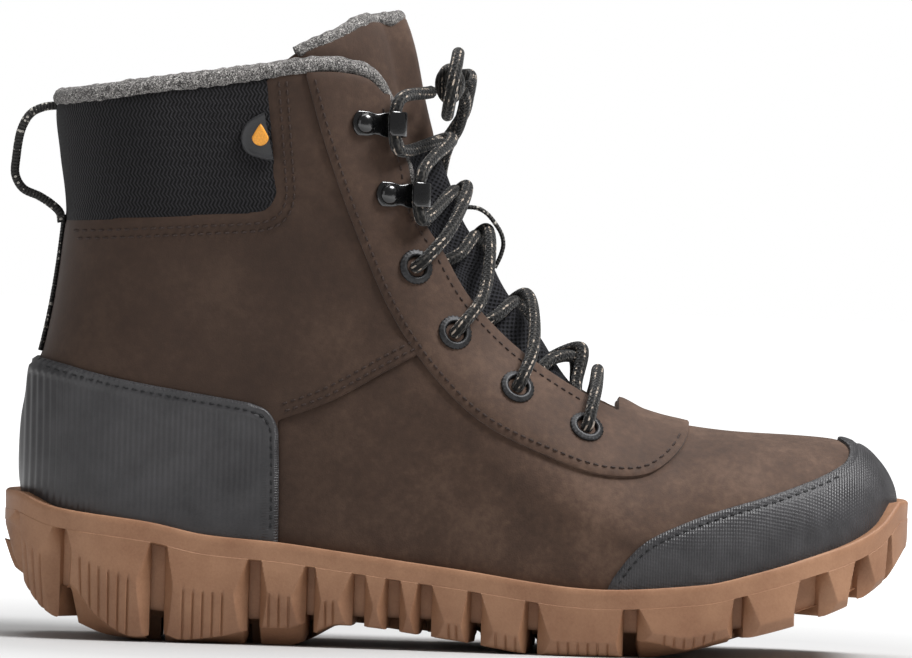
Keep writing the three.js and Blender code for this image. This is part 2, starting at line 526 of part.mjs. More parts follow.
// ---- Metal ----
const eyeletProfile = [[EYELET_BORE, -1.9], [4.2, -1.9], [4.2, 2.5], [EYELET_OUTER, 2.5], [4.8, 3.4],
  [EYELET_BORE, 3.1], [EYELET_BORE, -1.9]];
const hookProfile = [[-5.2, 2.5], [5, 2.5], [9, 2.7], [12.6, 4.2], [13.6, 7], [12.8, 9.6], [10, 10.6],
  [5.5, 10.2], [5.5, 9.2], [9.7, 9.6], [11.9, 8.7], [12.5, 7], [11.7, 5], [8.6, 3.6], [4.8, 3.4], [-5.2, 3.4]];
const HOOK_WIDTH = 8.5;
const rivetProfile = [[0, -2.4], [1.5, -2.4], [1.5, 3.7], [3.5, 3.7], [2.6, 5], [0, 5.4]];
for (const [name, side] of sides) {
  EYELETS.forEach(([x, z], i) => {
    const ring = lathe(eyeletProfile, 10).applyMatrix4(seatMatrix(x, z, side));
    add(`eyelet_${name}_${i + 1}`, ring, 'gunmetal');
  });
  HOOKS.forEach(([x, z], i) => {
    const shape = new THREE.Shape(hookProfile.map(([u, v]) => new THREE.Vector2(u, v)));
    const plate = new THREE.ExtrudeGeometry(shape, { depth: HOOK_WIDTH, bevelEnabled: false });
    plate.translate(0, 0, -HOOK_WIDTH / 2);
    const place = seatMatrix(x, z, side);
    const solid = solidFrom(plate, place).subtract(punch(RIVET_HOLE)(x, z, side));
    add(`hook_${name}_${i + 1}`, geometryFrom(solid), 'gunmetal');
    add(`hook_rivet_${name}_${i + 1}`, lathe(rivetProfile, 8).applyMatrix4(place), 'gunmetal');
  });
}

// ---- Lace: one cord from the knot, down through the hooks and eyelets and back up ----
class RouteCurve extends THREE.CatmullRomCurve3 {
  getUtoTmapping(u) { return u; }   // the steps follow the route's own points
}
function cord(points, sidesRound, perPoint, radius = LACE_RADIUS) {
  const ring = Array.from({ length: sidesRound }, (_, i) => {
    const angle = 2 * Math.PI * i / sidesRound;
    return new THREE.Vector2(radius * Math.cos(angle), radius * Math.sin(angle));
  });
  const extrudePath = new RouteCurve(points, false, 'centripetal');
  return new THREE.ExtrudeGeometry(new THREE.Shape(ring), {
    steps: (points.length - 1) * perPoint, bevelEnabled: false, extrudePath });
}
const OVER = 4.9;
const UNDER = 0.6;
const UNDER_EYESTAY = -4.3;
const crossing = (i, raise) => {
  const [x, z] = CROSSINGS[i];
  const lean = CROSSING_LEAN[i] * Math.PI / 180;
  return new THREE.Vector3(x + raise * Math.cos(lean), middleY(x, z), z + raise * Math.sin(lean));
};
// Places round an eyelet, by the distance toward the throat and the distance down the throat.
function nearEyelet(i, side, toward, down, raise) {
  const [x, z, degrees] = EYELETS[i];
  const angle = degrees * Math.PI / 180;
  const [cos, sin] = [Math.cos(angle), Math.sin(angle)];
  const at = [x + toward * cos + down * sin, z + toward * sin - down * cos];
  return onBody(at[0], at[1], side, raise).point;
}
const throughEyelet = (i, side) => [-1.8, 1, 3.6].map(
  (raise) => onBody(EYELETS[i][0], EYELETS[i][1], side, raise).point);
const upThrough = (i, side) => [nearEyelet(i, side, 17, 4, -2), nearEyelet(i, side, 12.2, 3.2, UNDER_EYESTAY),
  nearEyelet(i, side, 6, 1.5, UNDER_EYESTAY),
  nearEyelet(i, side, 1.6, 0.4, UNDER_EYESTAY), ...throughEyelet(i, side),
  nearEyelet(i, side, 2, -0.8, 5.9), nearEyelet(i, side, 11.5, -4.5, 6)];
const roundHook = (i, side) => [-8, 0, 8].map((up) => {
  const [x, z] = HOOKS[i];
  const local = new THREE.Vector3(9.2 + Math.abs(up) * 0.12, 6.4 + Math.abs(up) * 0.1, up * side);
  return local.applyMatrix4(seatMatrix(x, z, side));
});
function strand(side, firstOver) {
  const raise = (i) => ((i % 2 === 1) === firstOver ? OVER : UNDER);
  return [nearEyelet(0, side, 9, -3.5, 5.8), nearEyelet(0, side, 3, -1.5, 5.9), ...throughEyelet(0, side).reverse(),
    nearEyelet(0, side, 1.6, -0.6, UNDER_EYESTAY), nearEyelet(0, side, 6, -3, UNDER_EYESTAY),
    nearEyelet(0, side, 10, -6, UNDER_EYESTAY), nearEyelet(0, side, 14.2, -9.5, -2.6), crossing(1, raise(1)),
    ...upThrough(1, -side), crossing(2, raise(2)), ...upThrough(2, side), crossing(3, raise(3)),
    ...upThrough(3, -side), crossing(4, raise(4)), ...roundHook(0, side), crossing(5, raise(5)),
    ...roundHook(1, -side), new THREE.Vector3(-14.5, -side * 13, 193)];
}
const KNOT = new THREE.Vector3(-8, 0, 196);
const laceRoute = [...strand(-1, true).reverse(), crossing(0, 3), ...strand(1, false)];
add('lace', cord(laceRoute, 8, 1), 'webbing');

const knot = new THREE.SphereGeometry(1, 12, 8).scale(4.6, 8.5, 5).translate(...KNOT.toArray());
add('lace_knot', knot, 'webbing');
const fromKnot = (points, side) => points.map(([x, y, z]) => new THREE.Vector3(x, y * side, z));
const BOW = [[-7, 8.6, 199], [-6, 14, 203.5], [-5.5, 22, 206.5], [-5.5, 30, 206], [-6, 36.5, 202], [-7, 39.5, 196],
  [-8, 38, 190], [-8.5, 32, 186], [-8.5, 25, 185.5], [-8, 18, 188.5], [-7.5, 12.5, 192], [-7.5, 8.4, 193.8]];
const TAILS = [
  [[-3.6, 5.6, 193.5], [-2.6, 11, 190.5], [-3.5, 19, 185], [-5, 27, 180], [-7.5, 35, 175.5], [-9.5, 43, 169],
    [-10.5, 49, 160.5], [-10, 52.8, 151], [-9, 54.2, 141], [-8, 54.4, 131], [-7.5, 54.4, 120]],
  [[-3.2, 4.6, 199.2], [-1.2, 10, 199.2], [-0.8, 18, 196.8], [-1.5, 26, 192], [-2.8, 34, 186], [-6.5, 41, 179.5],
    [-11.5, 47.5, 172], [-15.5, 51.8, 163], [-17.5, 53.8, 153], [-17.8, 54.5, 143]],
];
for (const [name, side] of sides) add(`bow_loop_${name}`, cord(fromKnot(BOW, side), 8, 1), 'webbing');
const AGLET_LENGTH = 14;
const AGLET_RADIUS = 1.7;
TAILS.forEach((points, i) => {
  add(`lace_tail_${i + 1}`, cord(fromKnot(points, 1), 8, 1), 'webbing');
  const [x, y, z] = points.at(-1);
  const aglet = new THREE.CylinderGeometry(AGLET_RADIUS, AGLET_RADIUS, AGLET_LENGTH, 10).rotateX(Math.PI / 2);
  add(`aglet_${i + 1}`, aglet.translate(x, y, z - GAP - AGLET_LENGTH / 2), 'gunmetal');
});

// ---- The origin is under the middle of the boot, on the ground ----
const box = new THREE.Box3();
for (const mesh of root.children) {
  if (!/^(lace_tail|bow_loop|aglet)/.test(mesh.name)) box.expandByObject(mesh);
}
root.children.forEach((mesh) => {
  mesh.position.set(-(box.min.x + box.max.x) / 2, -(box.min.y + box.max.y) / 2, -box.min.z);
});

export default root;
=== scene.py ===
# An insulated lace-up hunting boot, right foot: the looks of every piece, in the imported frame.
# Lengths are millimetres in the design's own axes (+X toe, -Y outer side, +Z up) until `place`.
import math
import bmesh
import bpy
import numpy as np
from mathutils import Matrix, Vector


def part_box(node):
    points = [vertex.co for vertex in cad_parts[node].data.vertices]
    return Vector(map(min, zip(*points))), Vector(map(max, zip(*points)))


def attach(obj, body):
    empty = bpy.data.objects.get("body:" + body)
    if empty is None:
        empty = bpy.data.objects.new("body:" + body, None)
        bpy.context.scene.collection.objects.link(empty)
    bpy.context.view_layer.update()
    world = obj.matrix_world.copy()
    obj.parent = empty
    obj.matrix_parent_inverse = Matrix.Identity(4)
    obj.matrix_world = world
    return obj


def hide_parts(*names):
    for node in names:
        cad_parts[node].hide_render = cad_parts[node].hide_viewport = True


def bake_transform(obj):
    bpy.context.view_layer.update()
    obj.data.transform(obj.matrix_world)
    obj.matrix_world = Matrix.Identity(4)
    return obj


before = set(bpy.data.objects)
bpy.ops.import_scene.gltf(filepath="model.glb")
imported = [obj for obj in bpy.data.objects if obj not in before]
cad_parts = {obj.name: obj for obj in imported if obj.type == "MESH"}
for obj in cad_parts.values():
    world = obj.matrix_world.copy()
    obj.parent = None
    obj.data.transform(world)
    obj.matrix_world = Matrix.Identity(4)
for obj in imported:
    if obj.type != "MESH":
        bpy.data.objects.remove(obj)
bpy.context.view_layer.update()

# ---- The design's frame: the sole's back edge and the back strip fix where it lies ----
SOLE_BACK = -158.5
SOLE_FRONT = 156.3
sole_low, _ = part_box("outsole")
strip_low, strip_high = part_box("heel_strip")
SHIFT = np.array([sole_low[0] * 1000 - SOLE_BACK, (strip_low[1] + strip_high[1]) * 500, 0.0])


def place(points):
    """Design millimetres to the frame's metres."""
    return (np.asarray(points, dtype=float) + SHIFT) / 1000


# ---- Camera, at the outer side of the boot, level with its middle ----
VIEW_WIDTH = 317.1            # how much of the boot's length the camera takes in
DISTANCE = 5000
SENSOR = 36
camera_data = bpy.data.cameras.new("camera")
camera = bpy.data.objects.new("camera", camera_data)
bpy.context.scene.collection.objects.link(camera)
bpy.context.scene.camera = camera
camera_data.lens = SENSOR * DISTANCE / VIEW_WIDTH
camera_data.sensor_width = SENSOR
camera_data.clip_end = 20
AIM = np.array([-3.35, -12.0, 110.96])
TILT = math.radians(1.2)
ROLL = math.radians(1.73)


def face_toward(thing, spot, aim):
    """Stands a camera or a lamp at a spot and turns it to look at a place."""
    thing.location = spot
    thing.rotation_euler = (Vector(aim) - Vector(spot)).to_track_quat("-Z", "Y").to_euler()


eye = AIM + np.array([0, -DISTANCE * math.cos(TILT), DISTANCE * math.sin(TILT)])
face_toward(camera, place(eye), place(AIM))
camera.rotation_euler.rotate_axis("Z", ROLL)

# ---- Short helpers ----
def circle(steps):
    return np.linspace(0, 2 * math.pi, steps, endpoint=False)


def unit(rows):
    """Each row as a direction of length 1."""
    return rows / np.maximum(np.linalg.norm(rows, axis=-1, keepdims=True), 1e-9)


def running_length(points):
    """How far along a path each of its points lies."""
    return np.concatenate([[0], np.cumsum(np.linalg.norm(np.diff(points, axis=0), axis=1))])


# ---- The surface of the upper, in closed form ----
# The sections lie level in the leg, fan out round a place above the instep, and stand upright in the foot.
FAN_X = 55
FAN_Z = 150
BODY_TOP = 240
TOE_X = 150.7
BACK_ROUND = 42
TOE_ROUND = 58
FRONT_ROUND = 46
# Side-view lines: the front from the shaft to the toe, the back, and the edge where the sole is joined on.
INSTEP = [(-28, 240), (-24, 222), (-19.4, 207), (-15.4, 189), (-10.8, 173), (-6.5, 162), (-2, 150),
          (9.5, 133.6), (25.8, 112.4), (45, 94.5), (55, 87), (62.7, 83.1), (76, 80), (96.8, 77.9),
          (114.4, 77.3), (128, 76.4), (139, 72.9), (145, 67.6), (149.2, 61), (150.7, 54.5)]
BACK = [(-146, 240), (-146, 200), (-145.2, 185), (-142.4, 168), (-140.2, 150), (-141, 138),
        (-147.2, 99), (-150.3, 92), (-152.8, 62.4), (-151.7, 50), (-150, 40.5)]
LASTING_EDGE = [(-150, 40.5), (-141.2, 39.9), (-107.5, 35.7), (-87.1, 31.8), (-62.3, 30), (-23.9, 25.1),
                (23.2, 20.2), (55, 17.3), (84.3, 20), (103.3, 24.6), (123, 30.7), (137.6, 36), (147, 43),
                (150.7, 50)]


def through(points):
    """A smooth line through given points that never overshoots them."""
    xs = np.array([p[0] for p in points], dtype=float)
    ys = np.array([p[1] for p in points], dtype=float)
    slopes = np.diff(ys) / np.diff(xs)
    tangents = np.concatenate([[slopes[0]], np.zeros(len(xs) - 2), [slopes[-1]]])
    before, after = slopes[:-1], slopes[1:]
    same = before * after > 0
    inner = np.zeros(len(xs) - 2)
    inner[same] = 2 * before[same] * after[same] / (before[same] + after[same])
    tangents[1:-1] = inner

    def line(value):
        x = np.clip(value, xs[0], xs[-1])
        i = np.clip(np.searchsorted(xs, x, side="right") - 1, 0, len(xs) - 2)
        step = xs[i + 1] - xs[i]
        t = (x - xs[i]) / step
        rise = t * t * (3 - 2 * t)
        ends = tangents[i] * t * (1 - t) ** 2 + tangents[i + 1] * t * t * (t - 1)
        return ys[i] * (1 - rise) + ys[i + 1] * rise + step * ends
    return line


def smooth(value, low, high):
    """0 up to low and 1 from high on, with no corners."""
    t = np.clip((value - low) / (high - low), 0, 1)
    return t * t * (3 - 2 * t)


def bulge(t, power=2.2):
    """From 0 up to 1 as a rounded end does."""
    return (1 - (1 - np.clip(t, 0, 1)) ** power) ** (1 / power)


foot_half = through([(-150, 37), (-60, 37), (-20, 38), (20, 43.5), (60, 48.5), (90, 49), (150, 46)])
leg_half = through([(90, 37), (130, 38.5), (160, 42), (190, 44), (240, 46)])
centre_y = through([(-150, 0), (-80, 0), (-20, -3), (60, -1), (100, 3), (150, 10)])
ridge_power = through([(-20, 1.9), (20, 1.7), (45, 1.6), (75, 1.75), (100, 2.1), (150, 2.2)])


def by_height(points):
    return through(sorted((z, x) for x, z in points))


back_x = by_height(BACK)


def fan_line(points):
    inside = [(math.atan2(FAN_Z - z, FAN_X - x), math.hypot(FAN_Z - z, FAN_X - x))
              for x, z in points if z <= FAN_Z and x <= FAN_X]
    return through(inside)


def foot_key(x):
    return np.arcsin(np.clip((x - FAN_X) / (TOE_X - FAN_X), 0, 1))


def foot_line(points):
    return through([(float(foot_key(x)), z) for x, z in points if x >= FAN_X and z < FAN_Z])


leg_front = by_height([p for p in INSTEP if p[1] >= FAN_Z])
fan_front = fan_line(INSTEP)
fan_back = fan_line(BACK + LASTING_EDGE[1:])
foot_top = foot_line(INSTEP)
foot_bottom = foot_line(LASTING_EDGE)


def section_point(along, across):
    """Where a section's point lies in the side view, with its distance behind the front line."""
    z_leg = BODY_TOP - along * (BODY_TOP - FAN_Z)
    length_leg = leg_front(z_leg) - back_x(z_leg)
    angle = np.clip(along - 1, 0, 1) * math.pi / 2
    length_fan = fan_back(angle) - fan_front(angle)
    radius = fan_front(angle) + across * length_fan
    key = np.clip(along - 2, 0, 1) * math.pi / 2
    length_foot = foot_top(key) - foot_bottom(key)
    leg, foot = along <= 1, along > 2
    x = np.where(leg, leg_front(z_leg) - across * length_leg,
                 np.where(foot, FAN_X + (TOE_X - FAN_X) * np.sin(key), FAN_X - radius * np.cos(angle)))
    z = np.where(leg, z_leg, np.where(foot, foot_top(key) - across * length_foot,
                                      FAN_Z - radius * np.sin(angle)))
    length = np.where(leg, length_leg, np.where(foot, length_foot, length_fan))
    return x, z, across * length, length


def section_of(x, z):
    """How far along the boot (0 to 3) and across its section (0 front, 1 back) a place lies."""
    x, z = np.asarray(x, float), np.asarray(z, float)
    leg, foot = z >= FAN_Z, (x >= FAN_X) & (z < FAN_Z)
    angle = np.arctan2(FAN_Z - z, FAN_X - x)
    key = foot_key(x)
    along = np.where(leg, (BODY_TOP - z) / (BODY_TOP - FAN_Z),
                     np.where(foot, 2 + key * 2 / math.pi, 1 + np.clip(angle, 0, math.pi / 2) * 2 / math.pi))
    front = np.where(leg, leg_front(z) - x, np.where(foot, foot_top(key) - z,
                     np.hypot(FAN_Z - z, FAN_X - x) - fan_front(angle)))
    length = np.where(leg, leg_front(z) - back_x(z), np.where(foot, foot_top(key) - foot_bottom(key),
                      fan_back(angle) - fan_front(angle)))
    return along, np.clip(front / length, 0, 1)


def middle_y(x, z):
    """The curved middle line of the foot, straight in the leg."""
    return centre_y(x) * (1 - smooth(z, 80, 150))


def half_width(x, z, front, length):
    full = foot_half(x) + (leg_half(z) - foot_half(x)) * smooth(z, 75, 135)
    round_off = bulge((x - back_x(z)) / BACK_ROUND) * bulge((TOE_X - x) / TOE_ROUND)
    return full * round_off * bulge(front / np.minimum(FRONT_ROUND, 0.9 * length), ridge_power(x))


# The girth of every section, from its front line, so that panels can be laid out flat.
ROWS, COLUMNS = 601, 241
row_along = np.linspace(0, 3, ROWS)
column_across = (1 - np.cos(np.linspace(0, math.pi, COLUMNS))) / 2
grid_along, grid_across = np.meshgrid(row_along, column_across, indexing="ij")
grid_x, grid_z, grid_front, grid_length = section_point(grid_along, grid_across)
grid_w = half_width(grid_x, grid_z, grid_front, grid_length)
hop = np.sqrt(np.diff(grid_x, axis=1) ** 2 + np.diff(grid_z, axis=1) ** 2 + np.diff(grid_w, axis=1) ** 2)
GIRTH = np.concatenate([np.zeros((ROWS, 1)), np.cumsum(hop, axis=1)], axis=1)
WHOLE_GIRTH = GIRTH[:, -1] + grid_w[:, -1]


def girth_at(along, across):
    """The distance over the surface from a section's front line to a place on it."""
    row = np.clip(np.asarray(along) / 3 * (ROWS - 1), 0, ROWS - 1.001)
    column = np.arccos(1 - 2 * np.clip(across, 0, 1)) / math.pi * (COLUMNS - 1)
    column = np.clip(column, 0, COLUMNS - 1.001)
    i, j = row.astype(int), column.astype(int)
    a, b = row - i, column - j
    return ((GIRTH[i, j] * (1 - b) + GIRTH[i, j + 1] * b) * (1 - a)
            + (GIRTH[i + 1, j] * (1 - b) + GIRTH[i + 1, j + 1] * b) * a)


def across_at(along, girth):
    """The other way round: how far across a section a distance from its front line lies."""
    low = np.zeros(len(girth))
    high = np.ones(len(girth))
    for _ in range(26):
        half = (low + high) / 2
        less = girth_at(along, half) < girth
        low = np.where(less, half, low)
        high = np.where(less, high, half)
    return (low + high) / 2


def whole_girth(along):
    return np.interp(along, row_along, WHOLE_GIRTH)


def surface_point(along, girth, from_back=False):
    """A point of the bare surface; girth is signed, - on the outer side, and may pass the back."""
    along = np.clip(along, 0, 3)
    side = np.where(girth < 0, -1.0, 1.0)
    distance = whole_girth(along) - np.abs(girth) if from_back else np.abs(girth)
    across = across_at(along, np.clip(distance, 0, None))
    x, z, front, length = section_point(along, across)
    y = middle_y(x, z) + side * half_width(x, z, front, length)
    return np.stack([x, y, z], axis=-1)


def surface(along, girth, from_back=False):
    """A point of the surface and its outward normal."""
    da, dg = 0.004, 0.7
    point = surface_point(along, girth, from_back)
    ahead = surface_point(along + da, girth, from_back) - surface_point(along - da, girth, from_back)
    sideways = surface_point(along, girth + dg, from_back) - surface_point(along, girth - dg, from_back)
    normal = unit(np.cross(ahead, sideways))
    return point, -normal if from_back else normal


# ---- Making pieces ----
def new_piece(name, points, faces, material, body="boot", slot=None, replaces=(), uv=None, crease=40):
    """A mesh piece from design millimetres, and what it stands for; with no body it is left unattached."""
    mesh = bpy.data.meshes.new(name)
    mesh.from_pydata(place(points).tolist(), [], [tuple(int(i) for i in f) for f in faces])
    mesh.validate()
    if uv is not None and len(mesh.vertices) == len(uv):
        layer = mesh.uv_layers.new(name="flat")
        corners = np.empty(len(mesh.loops), dtype=np.int32)
        mesh.loops.foreach_get("vertex_index", corners)
        layer.data.foreach_set("uv", np.asarray(uv, float)[corners].astype(np.float32).ravel())
    mesh.shade_smooth()
    mesh.set_sharp_from_angle(angle=math.radians(crease))
    mesh.materials.append(material)
    piece = bpy.data.objects.new(name, mesh)
    bpy.context.scene.collection.objects.link(piece)
    if body:
        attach(piece, body)
    if replaces:
        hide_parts(*replaces)
    return piece


def join_parts(parts):
    """Several (points, faces) lists as one."""
    points, faces, start = [], [], 0
    for part_points, part_faces in parts:
        points.append(np.asarray(part_points, float))
        faces.extend([tuple(int(i) + start for i in face) for face in part_faces])
        start += len(part_points)
    return np.concatenate(points), faces


def grid_faces(rows, columns, closed=False, flip=False):
    """Four-sided faces over rows of points; closed joins each row's end to its start."""
    i, j = np.meshgrid(np.arange(rows - 1), np.arange(columns if closed else columns - 1), indexing="ij")
    i, j = i.ravel(), j.ravel()
    k = (j + 1) % columns
    faces = np.stack([i * columns + j, i * columns + k, (i + 1) * columns + k, (i + 1) * columns + j], axis=1)
    return faces[:, ::-1] if flip else faces


def tube_faces(rows, around, flip=False):
    """The skin of a tube of closed rows, and its two flat ends."""
    first = tuple(range(around))
    last = tuple(i + (rows - 1) * around for i in first)
    ends = [first, last[::-1]] if flip else [first[::-1], last]
    return [tuple(f) for f in grid_faces(rows, around, closed=True, flip=flip)] + ends


def curve_through(points, step, closed=False):
    """Points a step apart on a smooth curve through given points."""
    p = np.asarray(points, float)
    if closed:
        p = np.concatenate([p[-1:], p, p[:2]])
    else:
        p = np.concatenate([[2 * p[0] - p[1]], p, [2 * p[-1] - p[-2]]])
    fine = []
    for a, b, c, d in zip(p[:-3], p[1:-2], p[2:-1], p[3:]):
        ka, kb, kc = [max(np.linalg.norm(v - u), 1e-6) ** 0.5 for u, v in ((a, b), (b, c), (c, d))]
        t = np.linspace(0, 1, max(6, int(np.linalg.norm(c - b) / step * 3)), endpoint=False)[:, None]
        m1 = (b - a) / ka - (c - a) / (ka + kb) + (c - b) / kb
        m2 = (c - b) / kb - (d - b) / (kb + kc) + (d - c) / kc
        h = (2 * t ** 3 - 3 * t ** 2 + 1) * b + (t ** 3 - 2 * t ** 2 + t) * m1 * kb
        fine.append(h + (-2 * t ** 3 + 3 * t ** 2) * c + (t ** 3 - t ** 2) * m2 * kb)
    fine = np.concatenate(fine + [p[-2][None, :]])
    length = running_length(fine)
    count = max(2, int(round(length[-1] / step)) + 1)
    even = np.linspace(0, length[-1], count)
    return np.stack([np.interp(even, length, fine[:, i]) for i in range(p.shape[1])], axis=1)


def tube(path, radius, around):
    """A tube along a path; the radius is one number, or one for each point of its skin."""
    tangent = unit(np.gradient(path, axis=0))
    one = [unit(np.cross(tangent[0], [0.3, 0.2, 1.0]))]
    for way in tangent[1:]:
        one.append(unit(one[-1] - way * np.dot(one[-1], way)))
    two = np.cross(tangent, np.array(one))
    angle = circle(around)
    ring = np.array(one)[:, None] * np.cos(angle)[None, :, None] + two[:, None] * np.sin(angle)[None, :, None]
    points = path[:, None] + ring * np.broadcast_to(radius, ring.shape[:2])[:, :, None]
    return points.reshape(-1, 3), tube_faces(len(path), around, flip=True)


# ---- Materials ----
class Nodes:
    """A short way to write a node tree."""

    def __init__(self, name):
        self.material = bpy.data.materials.new(name)
        self.material.use_nodes = True
        self.tree = self.material.node_tree
        self.shader = self.tree.nodes["Principled BSDF"]

    def add(self, kind, settings=(), **inputs):
        node = self.tree.nodes.new(kind)
        for key, value in dict(settings).items():
            setattr(node, key, value)
        for key, value in inputs.items():
            self.put(node, key.replace("_", " "), value)
        return node

    def put(self, node, socket, value):
        by_number = socket[0] == "i" and socket[1:].isdigit()
        target = node.inputs[int(socket[1:]) if by_number else socket]
        if isinstance(value, bpy.types.NodeSocket):
            self.tree.links.new(value, target)
        else:
            target.default_value = value

    def noise(self, vector, scale, detail=4, rough=0.55):
        node = self.add("ShaderNodeTexNoise", Vector=vector, Scale=scale, Detail=detail, Roughness=rough)
        return node.outputs["Fac"]

    def ramp(self, value, *stops):
        node = self.add("ShaderNodeValToRGB", Fac=value)
        while len(node.color_ramp.elements) < len(stops):
            node.color_ramp.elements.new(0.5)
        for element, (position, colour) in zip(node.color_ramp.elements, stops):
            element.position = position
            element.color = colour if len(colour) == 4 else (*colour, 1)
        return node.outputs["Color"]

    def maths(self, operation, *values):
        node = self.add("ShaderNodeMath", {"operation": operation})
        for i, value in enumerate(values):
            self.put(node, f"i{i}", value)
        return node.outputs[0]

    def mix(self, factor, one, two, kind="MIX"):
        node = self.add("ShaderNodeMix", {"data_type": "RGBA", "blend_type": kind})
        for socket, value in ((0, factor), (6, one), (7, two)):
            self.put(node, f"i{socket}", value if not isinstance(value, tuple) else (*value[:3], 1))
        return node.outputs[2]

    def sum_of(self, one, share, two, rest):
        """Two values added, each with its share."""
        return self.maths("MULTIPLY_ADD", one, share, self.maths("MULTIPLY", two, rest))

    def bump(self, height, depth, strength=0.9):
        """A bumped normal; the depth is in millimetres."""
        node = self.add("ShaderNodeBump", Height=height, Distance=depth / 1000, Strength=strength)
        return node.outputs["Normal"]

    def finish(self, colour, roughness, normal=None, **values):
        self.put(self.shader, "Base Color", colour if not isinstance(colour, tuple) else (*colour[:3], 1))
        self.put(self.shader, "Roughness", roughness)
        if normal is not None:
            self.put(self.shader, "Normal", normal)
        for key, value in values.items():
            self.put(self.shader, key.replace("_", " "), value)
        return self.material


def srgb(red, green, blue):
    """A colour given as 0 to 255 in sRGB."""
    def linear(c):
        c /= 255
        return c / 12.92 if c <= 0.04045 else ((c + 0.055) / 1.055) ** 2.4
    return linear(red), linear(green), linear(blue)


def scaled_to(colour, factor):
    return tuple(min(1, c * factor) for c in colour)


def flat_mm(nodes):
    """Where a point lies on the piece laid out flat, in mm."""
    node = nodes.add("ShaderNodeUVMap")
    node.uv_map = "flat"
    return node.outputs["UV"]


def space_mm(nodes):
    coordinates = nodes.add("ShaderNodeTexCoord").outputs["Object"]
    node = nodes.add("ShaderNodeVectorMath", {"operation": "SCALE"}, Vector=coordinates)
    node.inputs["Scale"].default_value = 1000
    return node.outputs["Vector"]


def split(nodes, vector):
    node = nodes.add("ShaderNodeSeparateXYZ", Vector=vector)
    return node.outputs["X"], node.outputs["Y"]


def wave(nodes, value, period, shift=0.0):
    """0 to 1 and back once a period."""
    turned = nodes.maths("MULTIPLY_ADD", value, 2 * math.pi / period, shift)
    return nodes.maths("MULTIPLY_ADD", nodes.maths("SINE", turned), 0.5, 0.5)


def make_leather():
    """Waxed nubuck, with painted shade darkening it towards the heel."""
    n = Nodes("brown nubuck")
    dark = srgb(62, 46, 37)
    at = space_mm(n)
    cloud = n.noise(at, 0.035, 5, 0.6)
    mottle = n.noise(at, 0.35, 6, 0.65)
    blend = n.sum_of(mottle, 0.4, cloud, 0.6)
    colour = n.ramp(blend, (0.36, dark), (0.5, srgb(78, 59, 48)), (0.64, srgb(97, 76, 63)))
    # painted shade: the colour is mixed towards a darker brown from the toe back to the heel
    length = n.add("ShaderNodeSeparateXYZ", Vector=at).outputs["X"]
    painted_heel_shade = n.add("ShaderNodeMapRange", Value=length, From_Min=-70.0, From_Max=45.0, To_Min=0.65, To_Max=0.0)
    colour = n.mix(painted_heel_shade.outputs[0], colour, scaled_to(dark, 0.6))
    pores = n.add("ShaderNodeTexVoronoi", {"feature": "F1"}, Vector=at, Scale=1.6).outputs["Distance"]
    fine = n.noise(at, 2.2, 4, 0.7)
    nap = n.noise(at, 0.12, 5, 0.6)
    height = n.maths("MULTIPLY_ADD", pores, 0.35, n.maths("MULTIPLY_ADD", fine, 0.5, nap))
    rough = n.maths("MULTIPLY_ADD", mottle, 0.2, 0.62)
    normal = n.bump(height, 0.1, 0.75)
    return n.finish(colour, rough, normal, Sheen_Weight=0.08, Sheen_Roughness=0.5, Specular_IOR_Level=0.22)


def make_guard_rubber(name, woven):
    n = Nodes(name)
    at = space_mm(n)
    mottle = n.noise(at, 0.08, 5, 0.6)
    dust = n.noise(at, 1.5, 4, 0.6)
    colour = n.ramp(n.sum_of(dust, 0.25, mottle, 0.75), (0.35, srgb(42, 41, 43)), (0.62, srgb(60, 59, 61)))
    height = n.maths("MULTIPLY", dust, 0.25)
    if woven:
        u, v = split(n, flat_mm(n))
        weft = wave(n, u, 0.95)
        warp = wave(n, v, 1.25)
        height = n.maths("MULTIPLY_ADD", warp, 0.45, n.maths("ADD", height, weft))
    normal = n.bump(height, 0.16 if woven else 0.05, 0.8)
    return n.finish(colour, n.maths("MULTIPLY_ADD", mottle, 0.2, 0.34), normal, Specular_IOR_Level=0.5)


def make_gum():
    """Tan crepe, with painted shade making it a little darker near the ground."""
    n = Nodes("gum rubber")
    at = space_mm(n)
    cloud = n.noise(at, 0.05, 5, 0.6)
    speck = n.noise(at, 1.1, 5, 0.7)
    colour = n.ramp(n.sum_of(speck, 0.3, cloud, 0.7), (0.36, srgb(138, 98, 72)), (0.62, srgb(163, 122, 93)))
    # painted shade: the colour darkens towards the ground
    lift = n.add("ShaderNodeSeparateXYZ", Vector=at).outputs["Z"]
    low = n.maths("SUBTRACT", 1.0, n.maths("DIVIDE", lift, 26.0))
    ground_shade = n.add("ShaderNodeClamp", Value=low).outputs[0]
    colour = n.mix(n.maths("MULTIPLY", ground_shade, 0.32), colour, srgb(112, 76, 56))
    normal = n.bump(speck, 0.10, 0.7)
    return n.finish(colour, n.maths("MULTIPLY_ADD", speck, 0.25, 0.42), normal, Specular_IOR_Level=0.4)


def make_felt():
    n = Nodes("heather felt")
    at = space_mm(n)
    kind = "ShaderNodeTexNoise"
    twisted = n.add(kind, Vector=at, Scale=0.5, Detail=3, Distortion=2.5).outputs["Fac"]
    fibre = n.add(kind, Vector=at, Scale=0.75, Detail=6, Roughness=0.62, Distortion=3).outputs["Fac"]
    colour = n.ramp(n.sum_of(fibre, 0.75, twisted, 0.25), (0.38, srgb(28, 27, 27)), (0.47, srgb(78, 76, 75)),
                    (0.54, srgb(128, 125, 123)), (0.62, srgb(205, 202, 198)))
    normal = n.bump(fibre, 0.55)
    return n.finish(colour, 0.95, normal, Sheen_Weight=0.1, Sheen_Roughness=0.5, Specular_IOR_Level=0.12)


